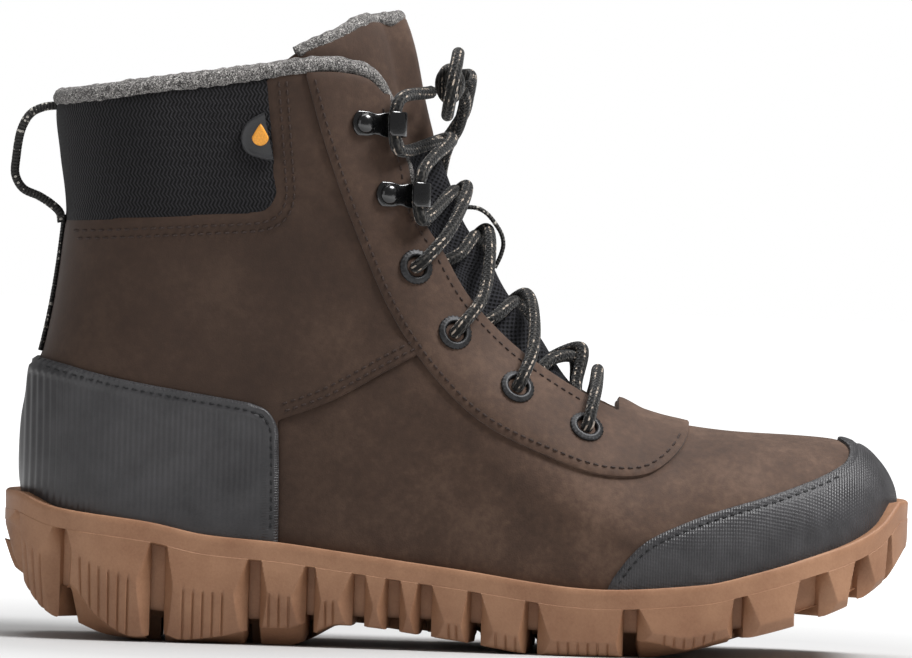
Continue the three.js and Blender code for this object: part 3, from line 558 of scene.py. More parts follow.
def make_zigzag():
    """Black cloth with a raised zigzag weave."""
    n = Nodes("collar cloth")
    u, v = split(n, flat_mm(n))
    zig = n.maths("PINGPONG", u, 1.7)
    ridge = wave(n, n.maths("MULTIPLY_ADD", zig, 0.62, v), 1.35)
    yarn = wave(n, u, 0.48)
    height = n.maths("MULTIPLY_ADD", yarn, 0.3, ridge)
    mottle = n.noise(space_mm(n), 0.5, 4, 0.6)
    tint = n.maths("MULTIPLY", n.maths("MULTIPLY_ADD", mottle, 0.5, 0.7), height)
    colour = n.ramp(tint, (0.25, srgb(9, 9, 10)), (0.75, srgb(26, 25, 27)), (1.0, srgb(44, 43, 46)))
    return n.finish(colour, 0.8, n.bump(height, 0.3), Sheen_Weight=0.04, Specular_IOR_Level=0.18)


def make_mesh_cloth():
    """Black spacer mesh with small round holes."""
    n = Nodes("tongue mesh")
    u, v = split(n, flat_mm(n))
    row = n.maths("MULTIPLY", wave(n, u, 2.0), wave(n, v, 2.4))
    other = n.maths("MULTIPLY", wave(n, u, 2.0, math.pi), wave(n, v, 2.4, math.pi))
    holes = n.maths("MAXIMUM", row, other)
    height = n.maths("SUBTRACT", 1.0, n.maths("POWER", holes, 2.0))
    colour = n.ramp(height, (0.2, srgb(7, 7, 8)), (0.7, srgb(28, 28, 31)), (1.0, srgb(40, 40, 44)))
    return n.finish(colour, 0.85, n.bump(height, 0.5), Specular_IOR_Level=0.2)


def make_webbing():
    """Flat woven tape, black with pale flecks in rows."""
    n = Nodes("speckled webbing")
    u, v = split(n, flat_mm(n))
    rib = wave(n, u, 1.15)
    lane = wave(n, v, 1.5)
    height = n.maths("MULTIPLY_ADD", lane, 0.5, rib)
    cell = n.add("ShaderNodeTexVoronoi", {"feature": "F1"}, Vector=flat_mm(n), Scale=0.75, Randomness=0.55)
    chance = n.add("ShaderNodeSeparateColor", Color=cell.outputs["Color"]).outputs[0]
    fleck = n.maths("GREATER_THAN", chance, 0.5)
    dot = n.maths("LESS_THAN", cell.outputs["Distance"], 0.42)
    pale = n.maths("MULTIPLY", fleck, dot)
    dark = n.ramp(height, (0.2, srgb(16, 16, 17)), (1.0, srgb(58, 57, 56)))
    colour = n.mix(pale, dark, srgb(176, 172, 164))
    return n.finish(colour, 0.85, n.bump(height, 0.3), Specular_IOR_Level=0.2)


def make_lace():
    """Round braid: u runs round the cord, v along it."""
    n = Nodes("braided lace")
    u, v = split(n, flat_mm(n))
    one = n.maths("MULTIPLY_ADD", v, 0.9, u)
    two = n.maths("MULTIPLY_ADD", v, 0.9, n.maths("MULTIPLY", u, -1.0))
    height = n.maths("MAXIMUM", wave(n, one, 1.95), wave(n, two, 1.95))
    lane = wave(n, n.maths("MULTIPLY_ADD", v, 0.05, u), 2.25)
    dash = wave(n, n.maths("MULTIPLY_ADD", u, 0.5, v), 2.6)
    broken = n.maths("GREATER_THAN", n.noise(flat_mm(n), 0.22, 2), 0.52)
    row = n.maths("MULTIPLY", n.maths("GREATER_THAN", lane, 0.84), n.maths("GREATER_THAN", dash, 0.3))
    pale = n.maths("MULTIPLY", row, broken)
    stripe = n.maths("MULTIPLY", lane, n.maths("MULTIPLY_ADD", height, 0.4, 0.6))
    dark = n.ramp(stripe, (0.15, srgb(9, 9, 9)), (0.6, srgb(27, 26, 25)), (1.0, srgb(66, 63, 59)))
    colour = n.mix(pale, dark, srgb(172, 158, 144))
    return n.finish(colour, 0.8, n.bump(height, 0.35), Sheen_Weight=0.15, Specular_IOR_Level=0.25)


def make_metal(name, colour, rough):
    n = Nodes(name)
    at = space_mm(n)
    smear = n.noise(at, 0.5, 5, 0.6)
    tint = n.ramp(smear, (0.3, scaled_to(colour, 0.75)), (0.7, scaled_to(colour, 1.25)))
    normal = n.bump(n.noise(at, 3.0, 3, 0.6), 0.02, 0.5)
    return n.finish(tint, n.maths("MULTIPLY_ADD", smear, 0.2, rough), normal, Metallic=1.0)


def make_plain(name, colour, rough, depth=0.05, scale=1.0, **values):
    """One colour, finely speckled; the depth of its grain is in millimetres."""
    n = Nodes(name)
    at = space_mm(n)
    speck = n.noise(at, scale, 5, 0.65)
    tint = n.ramp(speck, (0.3, scaled_to(colour, 0.8)), (0.7, scaled_to(colour, 1.2)))
    return n.finish(tint, rough, n.bump(speck, depth, 0.8), **values)


LEATHER = make_leather()
HEEL_RUBBER = make_guard_rubber("heel rubber", False)
TOE_RUBBER = make_guard_rubber("toe rubber", True)
GUM = make_gum()
FELT = make_felt()
ZIGZAG = make_zigzag()
MESH_CLOTH = make_mesh_cloth()
WEBBING = make_webbing()
LACE = make_lace()
GUNMETAL = make_metal("gunmetal", srgb(62, 62, 63), 0.4)
BLACK_METAL = make_plain("black enamel", srgb(10, 10, 11), 0.2, 0.02, 0.8, Coat_Weight=0.6)
STEEL = make_metal("spring steel", srgb(170, 172, 176), 0.3)
TIP = make_plain("lace tip", srgb(24, 23, 22), 0.25, 0.02, 1.2)
BROWN_THREAD = make_plain("brown thread", srgb(48, 33, 26), 0.75, 0.08, 4.0)
BLACK_THREAD = make_plain("black thread", srgb(22, 22, 24), 0.7, 0.08, 4.0)
TAG_RUBBER = make_plain("tag rubber", srgb(38, 38, 40), 0.5, 0.05, 2.0)
AMBER = make_plain("amber mark", srgb(222, 150, 48), 0.45, 0.03, 2.0)
FOAM = make_plain("open foam", srgb(205, 200, 186), 0.95, 0.3, 1.5)
BOARD = make_plain("fibreboard", srgb(150, 126, 92), 0.9, 0.1, 1.2)


# ---- Places on the boot ----
OUTER, INNER = -1, 1


def body_y(x, z, side):
    """How far across the boot its surface lies behind a place in the side view."""
    along, across = section_of(x, z)
    _, _, front, length = section_point(along, across)
    return middle_y(x, z) + side * half_width(x, z, front, length)


def on_body(x, z, side, raised=0.0):
    """A point at a place in the side view, raised along the normal, and that normal."""
    step = 0.5
    slope_x = (body_y(x + step, z, side) - body_y(x - step, z, side)) / (2 * step)
    slope_z = (body_y(x, z + step, side) - body_y(x, z - step, side)) / (2 * step)
    normal = unit(np.array([-slope_x, 1.0, -slope_z]) * side)
    return np.array([x, float(body_y(x, z, side)), z]) + normal * raised, normal


def seat(x, z, side):
    """Three directions (forward, out, across) and the place itself."""
    point, normal = on_body(x, z, side)
    forward = unit(np.array([1.0, 0, 0]) - normal * normal[0])
    return np.stack([forward, normal, np.cross(forward, normal)]), point


EYELETS = [(42.2, 77.6, 62), (17.8, 91.1, 54), (-4.4, 109.5, 38), (-18.6, 132.1, 32)]
HOOKS = [(-28.9, 157.1), (-37.9, 181.4)]
CROSSINGS = [(45, 95.3), (37.5, 101.5), (17, 120.4), (2.4, 142.9), (-5.6, 158.5), (-11.6, 175.5)]
CROSSING_LEAN = [62, 50, 42, 35, 25, 18]
KNOT = np.array([-8.0, 0, 196])
LACE_RADIUS = 2.15
OVER, UNDER = 4.9, 0.6        # how high a strand runs over the tongue at a crossing
UNDER_EYESTAY = -4.3
OVER_EYESTAY = 5.9


def crossing(i, raised):
    x, z = CROSSINGS[i]
    lean = math.radians(CROSSING_LEAN[i])
    return np.array([x + raised * math.cos(lean), float(middle_y(x, z)), z + raised * math.sin(lean)])


def near_eyelet(i, side, toward, down, raised):
    """A point beside an eyelet: towards the tongue, and down along the row of eyelets."""
    x, z, degrees = EYELETS[i]
    cos, sin = math.cos(math.radians(degrees)), math.sin(math.radians(degrees))
    return on_body(x + toward * cos + down * sin, z + toward * sin - down * cos, side, raised)[0]


def through_eyelet(i, side):
    return [near_eyelet(i, side, 0, 0, raised) for raised in (-1.8, 1, 3.6)]


def up_through(i, side):
    """From under the eyestay, up through an eyelet and away over the tongue."""
    return [near_eyelet(i, side, 17, 4, -2), near_eyelet(i, side, 12.2, 3.2, UNDER_EYESTAY),
            near_eyelet(i, side, 6, 1.5, UNDER_EYESTAY), near_eyelet(i, side, 1.6, 0.4, UNDER_EYESTAY),
            *through_eyelet(i, side), near_eyelet(i, side, 2, -0.8, OVER_EYESTAY),
            near_eyelet(i, side, 11.5, -4.5, 6)]


def round_hook(i, side):
    axes, point = seat(*HOOKS[i], side)
    return [np.array([9.2 + abs(up) * 0.12, 6.4 + abs(up) * 0.1, up * side]) @ axes + point
            for up in (-8, 0, 8)]


def strand(side, first_over):
    """One half of the lacing, from the lowest eyelet on its side up to the knot."""
    def cross(i):
        return crossing(i, OVER if (i % 2 == 1) == first_over else UNDER)

    return [near_eyelet(0, side, 9, -3.5, 5.8), near_eyelet(0, side, 3, -1.5, OVER_EYESTAY),
            *through_eyelet(0, side)[::-1], near_eyelet(0, side, 1.6, -0.6, UNDER_EYESTAY),
            near_eyelet(0, side, 6, -3, UNDER_EYESTAY), near_eyelet(0, side, 10, -6, UNDER_EYESTAY),
            near_eyelet(0, side, 14.2, -9.5, -2.6), cross(1), *up_through(1, -side), cross(2),
            *up_through(2, side), cross(3), *up_through(3, -side), cross(4), *round_hook(0, side), cross(5),
            *round_hook(1, -side), np.array([-14.5, -side * 13, 193])]


# ---- Lace: the braid is raised yarns round the cord, 8 each way ----
BRAID_STEP = 0.42
BRAID_AROUND = 40
BRAID_TWIST = 1.9


def braided(route, name, **where):
    """A braided cord along a route, and the path that it follows."""
    path = curve_through(route, BRAID_STEP)
    angle = circle(BRAID_AROUND)
    run = np.linspace(0, BRAID_STEP * (len(path) - 1), len(path))[:, None]
    left = np.sin(4 * angle + run * BRAID_TWIST)
    right = np.sin(4 * angle - run * BRAID_TWIST)
    yarns = LACE_RADIUS - 0.30 + 0.34 * np.maximum(np.abs(left), np.abs(right))
    points, faces = tube(path, yarns, BRAID_AROUND)
    turn = np.minimum(angle, 2 * math.pi - angle) * LACE_RADIUS
    uv = np.stack(np.broadcast_arrays(turn, run), axis=2)
    piece = new_piece(name, points, faces, LACE, slot="lace", uv=uv.reshape(-1, 2), crease=80, **where)
    return piece, path


BOW = [(-7, 8.6, 199), (-6, 14, 203.5), (-5.5, 22, 206.5), (-5.5, 30, 206), (-6, 36.5, 202), (-7, 39.5, 196),
       (-8, 38, 190), (-8.5, 32, 186), (-8.5, 25, 185.5), (-8, 18, 188.5), (-7.5, 12.5, 192),
       (-7.5, 8.4, 193.8)]
TAILS = [
    [(-3.6, 5.6, 193.5), (-2.6, 11, 190.5), (-3.5, 19, 185), (-5, 27, 180), (-7.5, 35, 175.5),
     (-9.5, 43, 169), (-10.5, 49, 160.5), (-10, 52.8, 151), (-9, 54.2, 141), (-8, 54.4, 131),
     (-7.5, 54.4, 120)],
    [(-3.2, 4.6, 199.2), (-1.2, 10, 199.2), (-0.8, 18, 196.8), (-1.5, 26, 192), (-2.8, 34, 186),
     (-6.5, 41, 179.5), (-11.5, 47.5, 172), (-15.5, 51.8, 163), (-17.5, 53.8, 153), (-17.8, 54.5, 143)],
]
AGLET_LENGTH = 14


def aglet(number, top):
    """A crimped plastic tip: a slim tube with a rolled lip and a blunt end."""
    profile = [(1.55, 0.0), (1.72, 0.35), (1.72, 1.3), (1.6, 1.7), (1.6, 12.6), (1.35, 13.6)]
    steps = 24
    angle = circle(steps)
    points = [np.stack([r * np.cos(angle), r * np.sin(angle), np.full(steps, -down)], axis=1)
              for r, down in profile]
    points = np.concatenate(points + [np.array([[0, 0, 0], [0, 0, -AGLET_LENGTH]])]) + top
    faces = [tuple(f) for f in grid_faces(len(profile), steps, closed=True)]
    last = len(profile) * steps
    low = last - steps
    faces += [(last, (i + 1) % steps, i) for i in range(steps)]
    faces += [(last + 1, low + i, low + (i + 1) % steps) for i in range(steps)]
    return new_piece(f"lace_tip_{number}", points, faces, TIP, slot="plastic_tip",
                     replaces=[f"aglet_{number}"])


def make_knot():
    """The crossed knot: two fat turns of lace round a core."""
    parts = []
    for lean, across, reach in ((0.5, 3.0, 5.2), (-0.55, 3.3, 4.6)):
        t = np.linspace(0, 2 * math.pi, 48, endpoint=False)
        ring = KNOT + np.stack([across * np.cos(t), 2.8 * np.sin(t) * lean * 2, reach * np.sin(t)], axis=1)
        parts.append(tube(np.concatenate([ring, ring[:2]]), 2.0, 18))
    core = [(-0.5, -8.0, 1.6), (1.2, -4.0, 2.4), (2.0, 0, 0.4), (1.2, 4.2, -1.8), (-0.5, 8.0, -2.0)]
    parts.append(tube(curve_through(KNOT + core, 0.8), 2.1, 18))
    points, faces = join_parts(parts)
    new_piece("knot", points, faces, LACE, slot="lace", replaces=["lace_knot"], uv=points[:, :2] * 2)


for side_name, side in (("lateral", OUTER), ("medial", INNER)):
    route = [(x, y * side, z) for x, y, z in BOW]
    loop, path = braided(route, f"bow_{side_name}", replaces=[f"bow_loop_{side_name}"])
for number, route in enumerate(TAILS, 1):
    tip = aglet(number, np.array(route[-1]) - (0, 0, 0.3))
    tail, path = braided(route, f"tail_{number}", replaces=[f"lace_tail_{number}"])
braided([*strand(OUTER, True)[::-1], crossing(0, 3), *strand(INNER, False)], "laced_lace", replaces=["lace"])
make_knot()


# ---- Sole: one grid wrapped round each half, with the lugs, their chamfers and the cuts in them ----
SOLE_TOP = [(-158.5, 32.5), (-157.5, 42), (-154.6, 50.7), (-141.2, 45.9), (-107.5, 41.7), (-87.1, 37.8),
            (-62.3, 36), (-43.1, 33.8), (-1.7, 28.9), (49.4, 23.5), (84.3, 26), (103.3, 30.6), (123, 36.7),
            (137.6, 41.9), (147, 47.4), (153.5, 55.5)]
SOLE_BOTTOM = [(-158.5, 32), (-155.5, 24), (-150.5, 15), (-145, 9.5), (-134.8, 4.7), (-120, 1.4), (-94.6, 0),
               (-59, 0), (-41, 7.6), (-2.2, 3.9), (30, 0), (63.6, 0), (102.5, 8.1), (131, 16.7),
               (148.4, 26.2), (156, 38.2), (156.3, 41.7)]
SOLE_MARGIN = 5.5             # how far the sole stands out past the upper
sole_top = through(SOLE_TOP[2:])
sole_bottom = through(SOLE_BOTTOM)
# Each outer lug: from and to along the side just under the band, and how many cuts it has.
LUGS = [(-200, -153.6, 0), (-153.2, -140.3, 3), (-136.6, -106.2, 6), (-101.3, -72.4, 5), (-68.6, -52.5, 3),
        (-49.9, -36.3, 2), (-32.5, -24.5, 0), (-20.3, -13.4, 0), (-9.5, 3.9, 2), (7.5, 23.8, 3),
        (27.3, 57.5, 6), (62.4, 95.9, 6), (99.6, 118.6, 0), (127.4, 137.8, 0), (141.5, 149.4, 0),
        (149.8, 200, 0)]
BAND = 6.8                    # height of the plain band above the lugs
VALLEY_IN = 6.2               # how far in the valleys between lugs lie
SIDE_IN = 21.5                # the side lugs reach this far in under the sole
valley_roof = through([(-150, 24), (-138, 18), (-103.7, 10.9), (-70.5, 9), (-51.2, 11), (-11.6, 11),
                       (5.8, 10.2), (25.6, 8.5), (60, 8.5), (97.8, 11), (122, 18), (139.6, 24.5), (156, 40)])


def sole_half(x):
    back = bulge((x - SOLE_BACK) / 46)
    front = bulge((SOLE_FRONT - x) / 62)
    return (foot_half(x) + SOLE_MARGIN) * back * front


def sole_edge(side):
    """The plan outline of one side from heel to toe, evenly spaced, with the way out."""
    turn = np.linspace(0, math.pi, 4000)
    x = SOLE_BACK + (SOLE_FRONT - SOLE_BACK) * (1 - np.cos(turn)) / 2
    y = centre_y(x) + side * sole_half(x)
    y[0], y[-1] = centre_y(x[0]), centre_y(x[-1])
    length = running_length(np.column_stack([x, y]))
    even = np.linspace(0, length[-1], 1150)
    x, y = np.interp(even, length, x), np.interp(even, length, y)
    out = unit(np.column_stack([-np.gradient(y), np.gradient(x)]) * side)
    out[0], out[-1] = (-1, 0), (1, 0)
    return np.column_stack([x, y]), out, even


# How far down a lug its face bends in, and how far its outer bottom edge is cut up.
knee = through([(-150, 0.34), (-100, 0.42), (-60, 0.5), (0, 0.68), (60, 0.72), (150, 0.75)])
cut_up = through([(-158, 0), (-141, 0), (-136.5, 14), (-126, 6.5), (-112, 0.8), (-101, 2.5), (-96, 1.0),
                  (-84, 2.2), (-74, 4.5), (-68, 6), (-53, 6.2), (-49, 0.6), (30, 0), (57, 0.4), (62.5, 6),
                  (70, 4.6), (81, 1.2), (92, 2), (97, 1.2), (104, 0), (160, 0)])


def facet_reach(start, end):
    """How far a lug's slanted side facets reach in, at its heel side and at its toe side."""
    toward_heel, toward_toe = (2.4, 4.8) if end < -30 else (4.8, 2.2) if start > -12 else (3.2, 3.2)
    if start < -150 or start > 145:
        toward_heel = 0.8
    if start > 140:
        toward_toe = 0.8
    return toward_heel, toward_toe


def lug_depth(x, low):
    """How far in from the face a place lies: 0 on a lug's face, VALLEY_IN in a valley.

    The side facets start from nothing at the band (low 0) and are full at the knee.
    """
    depth = np.full(len(x), VALLEY_IN)
    spread = np.clip(low / knee(x), 0, 1)
    for start, end, _ in LUGS:
        first, second = [0.35 + min(reach, (end - start) * 0.38) * spread
                         for reach in facet_reach(start, end)]
        facet = np.minimum(np.clip((x - start) / first, 0, 1), np.clip((end - x) / second, 0, 1))
        depth = np.where((x > start) & (x < end), VALLEY_IN * 0.72 * (1 - facet), depth)
    return depth


def cut_depth(x, low):
    """The thin upright cuts in the lugs' leaning faces, from 0 to 1 in the middle of a cut."""
    depth = np.zeros(len(x))
    for start, end, count in LUGS:
        shift = -1.3 if end < -30 else 1.2
        pitch = 3.4 if end - start > 15 else 2.6
        for k in range(count):
            at = (start + end) / 2 + shift + (k - (count - 1) / 2) * pitch
            near = np.exp(-((x - at) / 0.34) ** 2)
            depth = np.maximum(depth, near * smooth(low - knee(at), -0.01, 0.03))
    return depth


def sole_side(side):
    """One half of the sole, row by row: in over the top, down the side and in again underneath."""
    edge, out, run = sole_edge(side)
    x = edge[:, 0]
    middle = centre_y(x)
    top = sole_top(x)
    ground = np.minimum(sole_bottom(x), top - 8)
    roof = np.maximum(valley_roof(x), ground + 2.0)
    band = np.minimum(BAND, (top - ground) * 0.45)
    edge_ground = np.minimum(ground + cut_up(x), top - band - 5)
    edge_roof = np.maximum(roof, edge_ground + 0.5)

    def row(inward, level):
        return np.column_stack([edge - out * np.reshape(inward, (-1, 1)), level])

    rows = [np.column_stack([x, middle, top - 7]), row(8, top - 7)]
    for inward, drop in ((6.5, 0.9), (3.2, 0.5), (1.7, 0.15), (0.9, 0.0), (0.3, 0.35), (0.0, 1.0)):
        rows.append(row(inward, top - drop))
    for part in np.linspace(0.25, 1, 5):
        rows.append(row(0.15 * part, top - 1 - (band - 1) * part))
    for low in (0.008, 0.03, 0.06, 0.1, *np.linspace(0.14, 0.97, 26), 0.99):
        level = top - band - (top - band - edge_ground) * low
        deep = lug_depth(x, low) * smooth(low, 0.0, 0.03)
        # the face leans in below the knee, and rounds under at the ground
        lean = 2.4 * np.clip((low - knee(x)) / (1 - knee(x)), 0, 1) ** 1.2 + 0.7 * smooth(low, 0.95, 1.0)
        on_lug = smooth(deep, VALLEY_IN * 0.7, VALLEY_IN * 0.1)
        inward = np.maximum(deep, lean) + 0.8 * cut_depth(x, low) * on_lug
        in_valley = smooth(deep, VALLEY_IN * 0.75, VALLEY_IN)
        rows.append(row(inward, np.where(level < edge_roof, level + (edge_roof - level) * in_valley, level)))
    half = sole_half(x)
    side_cover = 1 - lug_depth(x, 1.0) / VALLEY_IN
    for inward in (4.6, 6.4, 8.5, 11, 14, 17, 19.5, 21, 22, 24, 27, 30, 34, 38, 44):
        at = row(np.minimum(inward, np.maximum(half * 0.98, 4.6)), x)[:, :2]
        at[:, 1] = np.where(side * (at[:, 1] - middle) < 0, middle, at[:, 1])
        base = ground + cut_up(x) * (1 - smooth(inward, 4, 12))
        if inward < SIDE_IN:
            valley = 1 - smooth(side_cover, 0.0, 0.5)
        else:
            # slanted bars across the middle of the tread
            bars = np.clip(np.sin(2 * math.pi * (x + 0.35 * inward) / 21) * 3 + 0.8, 0, 1)
            valley = 0.75 * (1 - smooth(bars, 0.0, 0.5))
        level = base + np.maximum(roof - base, 0) * valley
        if abs(inward - SIDE_IN) < 1:
            level = ground + (roof - ground) * 0.75
        rows.append(np.column_stack([at, level]))
    rows.append(np.column_stack([x, middle, ground + (roof - ground) * 0.6]))
    uv = np.stack(np.broadcast_arrays(run, np.arange(len(rows))[:, None]), axis=2)
    faces = grid_faces(len(rows), len(x), flip=side > 0)
    return np.concatenate(rows), faces, uv.reshape(-1, 2)


halves = [sole_side(side) for side in (OUTER, INNER)]
sole_points, sole_faces = join_parts([half[:2] for half in halves])
new_piece("lugged_sole", sole_points, sole_faces, GUM, slot="gum_rubber", replaces=["outsole"],
          uv=np.concatenate([half[2] for half in halves]), crease=28)


# ---- Panels: pieces of the upper, laid out flat, trimmed by outlines, and wrapped back on ----
def side_distance(outline, x, z):
    """How far inside (+) or outside (-) a side-view outline places lie."""
    best = np.full(len(x), 1e9)
    inside = np.zeros(len(x), bool)
    for (ax, az), (bx, bz) in zip(outline, np.roll(outline, -1, axis=0)):
        ex, ez = bx - ax, bz - az
        t = np.clip(((x - ax) * ex + (z - az) * ez) / max(ex * ex + ez * ez, 1e-9), 0, 1)
        best = np.minimum(best, (x - ax - t * ex) ** 2 + (z - az - t * ez) ** 2)
        hit = x < ax + (z - az) * ex / (ez if ez != 0 else 1e-9)
        inside ^= ((az > z) != (bz > z)) & hit
    return np.where(inside, 1, -1) * np.sqrt(best)


def limits(inside=(), outside=(), between=None, sunk=None):
    """A panel's limits in the side view, as a function that gives how far inside them places lie.

    It lies within some outlines and outside others, which it may lap by a distance, between two heights,
    or above a line sunk below the sole's top edge.
    """
    def bound(x, z):
        distances = [side_distance(outline, x, z) for outline in inside]
        distances += [lap - side_distance(outline, x, z) for outline, lap in outside]
        if between:
            distances += [z - between[0], between[1] - z]
        if sunk is not None:
            distances.append(z - (sole_top(x) - sunk))
        return np.minimum.reduce(distances)
    return bound


def panel(name, bound, low, high, material, alongs, girths, steps=(1.5, 1.5), from_back=False, edge=0.5,
          lift=None, sink=None, **piece):
    """A trimmed piece of the upper from `low` to `high` over the surface, with rounded edges.

    It is cut from the stretch of surface between two places along the boot (0 at the shaft's top, 1 at the
    instep, 2 at the ball, 3 at the toe) and two girths from the front line, or from the back line.
    bound(x, z) is how far inside its limits a place lies; lift(x, z, inside) raises the outer face, and
    sink(x, girth) lowers both faces.
    """
    fine = np.linspace(*alongs, 400)
    run = running_length(surface_point(fine, np.full(400, sum(girths) / 2 + 20), from_back))
    rows = max(8, int(run[-1] / steps[0]))
    columns = max(6, int((girths[1] - girths[0]) / steps[1]))
    row_at = np.interp(np.linspace(0, run[-1], rows), run, fine)
    a, g = [grid.ravel() for grid in np.meshgrid(row_at, np.linspace(*girths, columns), indexing="ij")]

    def inside_at(a, g):
        at = surface_point(a, g, from_back)
        return bound(at[:, 0], at[:, 2])

    # where the outline passes between two grid points, the nearer one is moved onto it
    distance = inside_at(a, g).reshape(rows, columns)
    near = np.zeros((rows, columns), bool)
    for one, two in ((np.s_[:-1], np.s_[1:]), (np.s_[:, :-1], np.s_[:, 1:])):
        change = (distance[one] > 0) != (distance[two] > 0)
        first = np.abs(distance[one]) <= np.abs(distance[two])
        near[one] |= change & first
        near[two] |= change & ~first
    near = near.ravel()
    da, dg = 0.002, 0.3
    for _ in range(4):
        na, ng = a[near], g[near]
        ahead = surface_point(na + da, ng, from_back) - surface_point(na - da, ng, from_back)
        pace = np.linalg.norm(ahead, axis=1) / (2 * da)
        slope_a = (inside_at(na + da, ng) - inside_at(na - da, ng)) / (2 * da)
        slope_g = (inside_at(na, ng + dg) - inside_at(na, ng - dg)) / (2 * dg)
        share = inside_at(na, ng) / ((slope_a / pace) ** 2 + slope_g ** 2 + 1e-6)
        a[near] = np.clip(na - np.clip(share * slope_a / pace ** 2, -0.02, 0.02), 0, 3)
        g[near] = ng - np.clip(share * slope_g, -1.5, 1.5)

    point, normal = surface(a, g, from_back)
    inside = inside_at(a, g)
    inside[near] = 0
    keep = (inside > 0) | near
    quads = grid_faces(rows, columns)
    count = keep[quads].sum(axis=1)
    faces = [tuple(quad) for quad in quads[(count == 4) & (inside[quads].sum(axis=1) > 0.05)]]
    corners = [[corner for corner in quad if keep[corner]] for quad in quads[count == 3]]
    faces += [tuple(three) for three in corners if inside[three].sum() > 0.05]
    used = np.unique(np.concatenate(faces))
    total = len(used)
    renumber = np.full(len(a), -1)
    renumber[used] = np.arange(total)
    faces = [tuple(renumber[list(face)])[::1 if from_back else -1] for face in faces]
    point, normal, inside, a, g = point[used], normal[used], np.maximum(inside[used], 0), a[used], g[used]
    x, z = point[:, 0], point[:, 2]
    inward = np.clip(inside / edge, 0, 1)
    level = high - edge * (1 - np.sqrt(1 - (1 - inward) ** 2))
    if lift:
        level = level + lift(x, z, inside)
    lowered = sink(x, g) if sink else 0
    top = point + normal * np.reshape(level - lowered, (-1, 1))
    foot = point + normal * np.reshape(low - lowered, (-1, 1))
    # the border: edges that only one face uses
    edges = dict.fromkeys((u, v) for face in faces for u, v in zip(face, face[1:] + face[:1]))
    sides = [(v, u, u + total, v + total) for u, v in edges if (v, u) not in edges]
    under = [tuple(i + total for i in face[::-1]) for face in faces]
    uv = np.column_stack([np.interp(a, fine, run), g])
    return new_piece(name, np.concatenate([top, foot]), faces + under + sides, material,
                     uv=np.concatenate([uv, uv]), **piece)


# ---- Outlines of the upper, in the side view ----
COLLAR_RIM = [(-170, 187), (-146.2, 189.1), (-110, 194.4), (-74.2, 199.6), (-56.9, 202.6), (-46.5, 202.9),
              (-36.7, 200.7), (-31.3, 195.7)]
THROAT = [(-29.5, 192.3), (-27.5, 179.8), (-22.5, 167.8), (-19.3, 153.3), (-9.5, 137.9), (0.5, 121.9),
          (14.9, 107), (27.5, 97.8), (45, 87.4), (53.5, 83.5)]
EYESTAY_EDGE = [(-58.2, 199.1), (-50.5, 173.9), (-37.8, 141.2), (-24.7, 114.1), (-11, 95.3), (5.9, 79.9),
                (29.8, 68.3), (48.5, 62.4), (63.3, 62.5), (70.6, 66.4), (76.3, 72.5), (78.4, 77.7),
                (78.6, 90)]
VAMP_SEAM = [(-64.3, 78.2), (-46.4, 85.3), (-18, 101.6), (2, 110.5), (9.5, 111)]
HEEL_TOP = [(-170, 97.4), (-150.7, 97), (-117.7, 90.5), (-73.8, 83.8)]
HEEL_FRONT = [(-73.8, 83.8), (-67.6, 81.2), (-64.2, 76), (-63.4, 68), (-62.3, 10)]
TOE_EDGE = [(50.5, 18), (52, 24.3), (56.8, 32.1), (64, 39.7), (82.9, 48.7), (111.3, 58.1), (127, 64.6),
            (133.5, 69), (134.6, 73), (130, 76.3), (119, 78.6), (118, 86)]
PATCH_FRONT = [(-70.4, 205), (-66.2, 163.7), (-65.6, 156), (-67, 151.3), (-70.6, 148.9), (-78, 147.8)]
PATCH_LOW = [(-78, 147.8), (-140.3, 143.3), (-170, 142)]
RIM = 4.3                     # height of the felt roll
OVERLAY_LOW = 0.05            # pieces sewn over others start just above them

rim_line, throat_line, eyestay_line, seam_line = [
    curve_through(points, 1.5) for points in (COLLAR_RIM, THROAT, EYESTAY_EDGE, VAMP_SEAM)]
heel_top_line, patch_low_line = [curve_through(points, 2.0) for points in (HEEL_TOP, PATCH_LOW)]
heel_front_line, toe_line, patch_front_line = [
    curve_through(points, 1.2) for points in (HEEL_FRONT, TOE_EDGE, PATCH_FRONT)]


def chain(*lines):
    return np.concatenate([np.asarray(line, float) for line in lines])


under_rim = rim_line - (0, RIM - 0.4)
open_top = chain(under_rim, throat_line, [(53.5, 110), (70, 260), (-170, 260)])
eyestay_top = under_rim[under_rim[:, 0] > -58.2]
eyestay_shape = chain(eyestay_line, [(78.6, 96), (53.5, 96)], throat_line[::-1], eyestay_top[::-1])
vamp_shape = chain([(-64.3, 10)], seam_line, [(30, 140), (70, 140), (175, 120), (175, 10)])
heel_shape = chain(heel_top_line[heel_top_line[:, 0] > -169.9], heel_front_line[1:], [(-170, 10)])
toe_shape = chain([(50.5, 10)], toe_line, [(175, 95), (175, 10)])
patch_shape = chain([(-170, 205)], patch_front_line, patch_low_line[1:])


def eased(height, reach):
    """A lift that rises smoothly from the outline to a height."""
    return lambda x, z, inside: height * smooth(inside, 0, reach)


def vamp_lift(x, z, inside):
    return 0.2 * np.sin(x * 0.05) * np.sin(z * 0.07 + 1) * smooth(inside, 0, 12)


def quarter_lift(x, z, inside):
    """Soft wrinkles at the ankle, and a step up along the seam, where the quarter laps over the vamp."""
    wrinkled = np.exp(-np.hypot((x + 56) / 24, (z - 156) / 16) ** 2)
    ripple = (np.sin((x * 0.55 + z * 0.83) * 0.52 + 1.2 * np.sin(z * 0.16))
              + 0.6 * np.sin(x * 0.31 - z * 0.44 + 1))
    soft = np.sin(x * 0.043 + 1) * np.sin(z * 0.051) * 0.25 * smooth(inside, 0, 12)
    from_seam = -side_distance(vamp_shape, x, z)
    return 1.15 * (1 - smooth(from_seam, 2.0, 11)) + 0.22 * wrinkled * ripple + soft


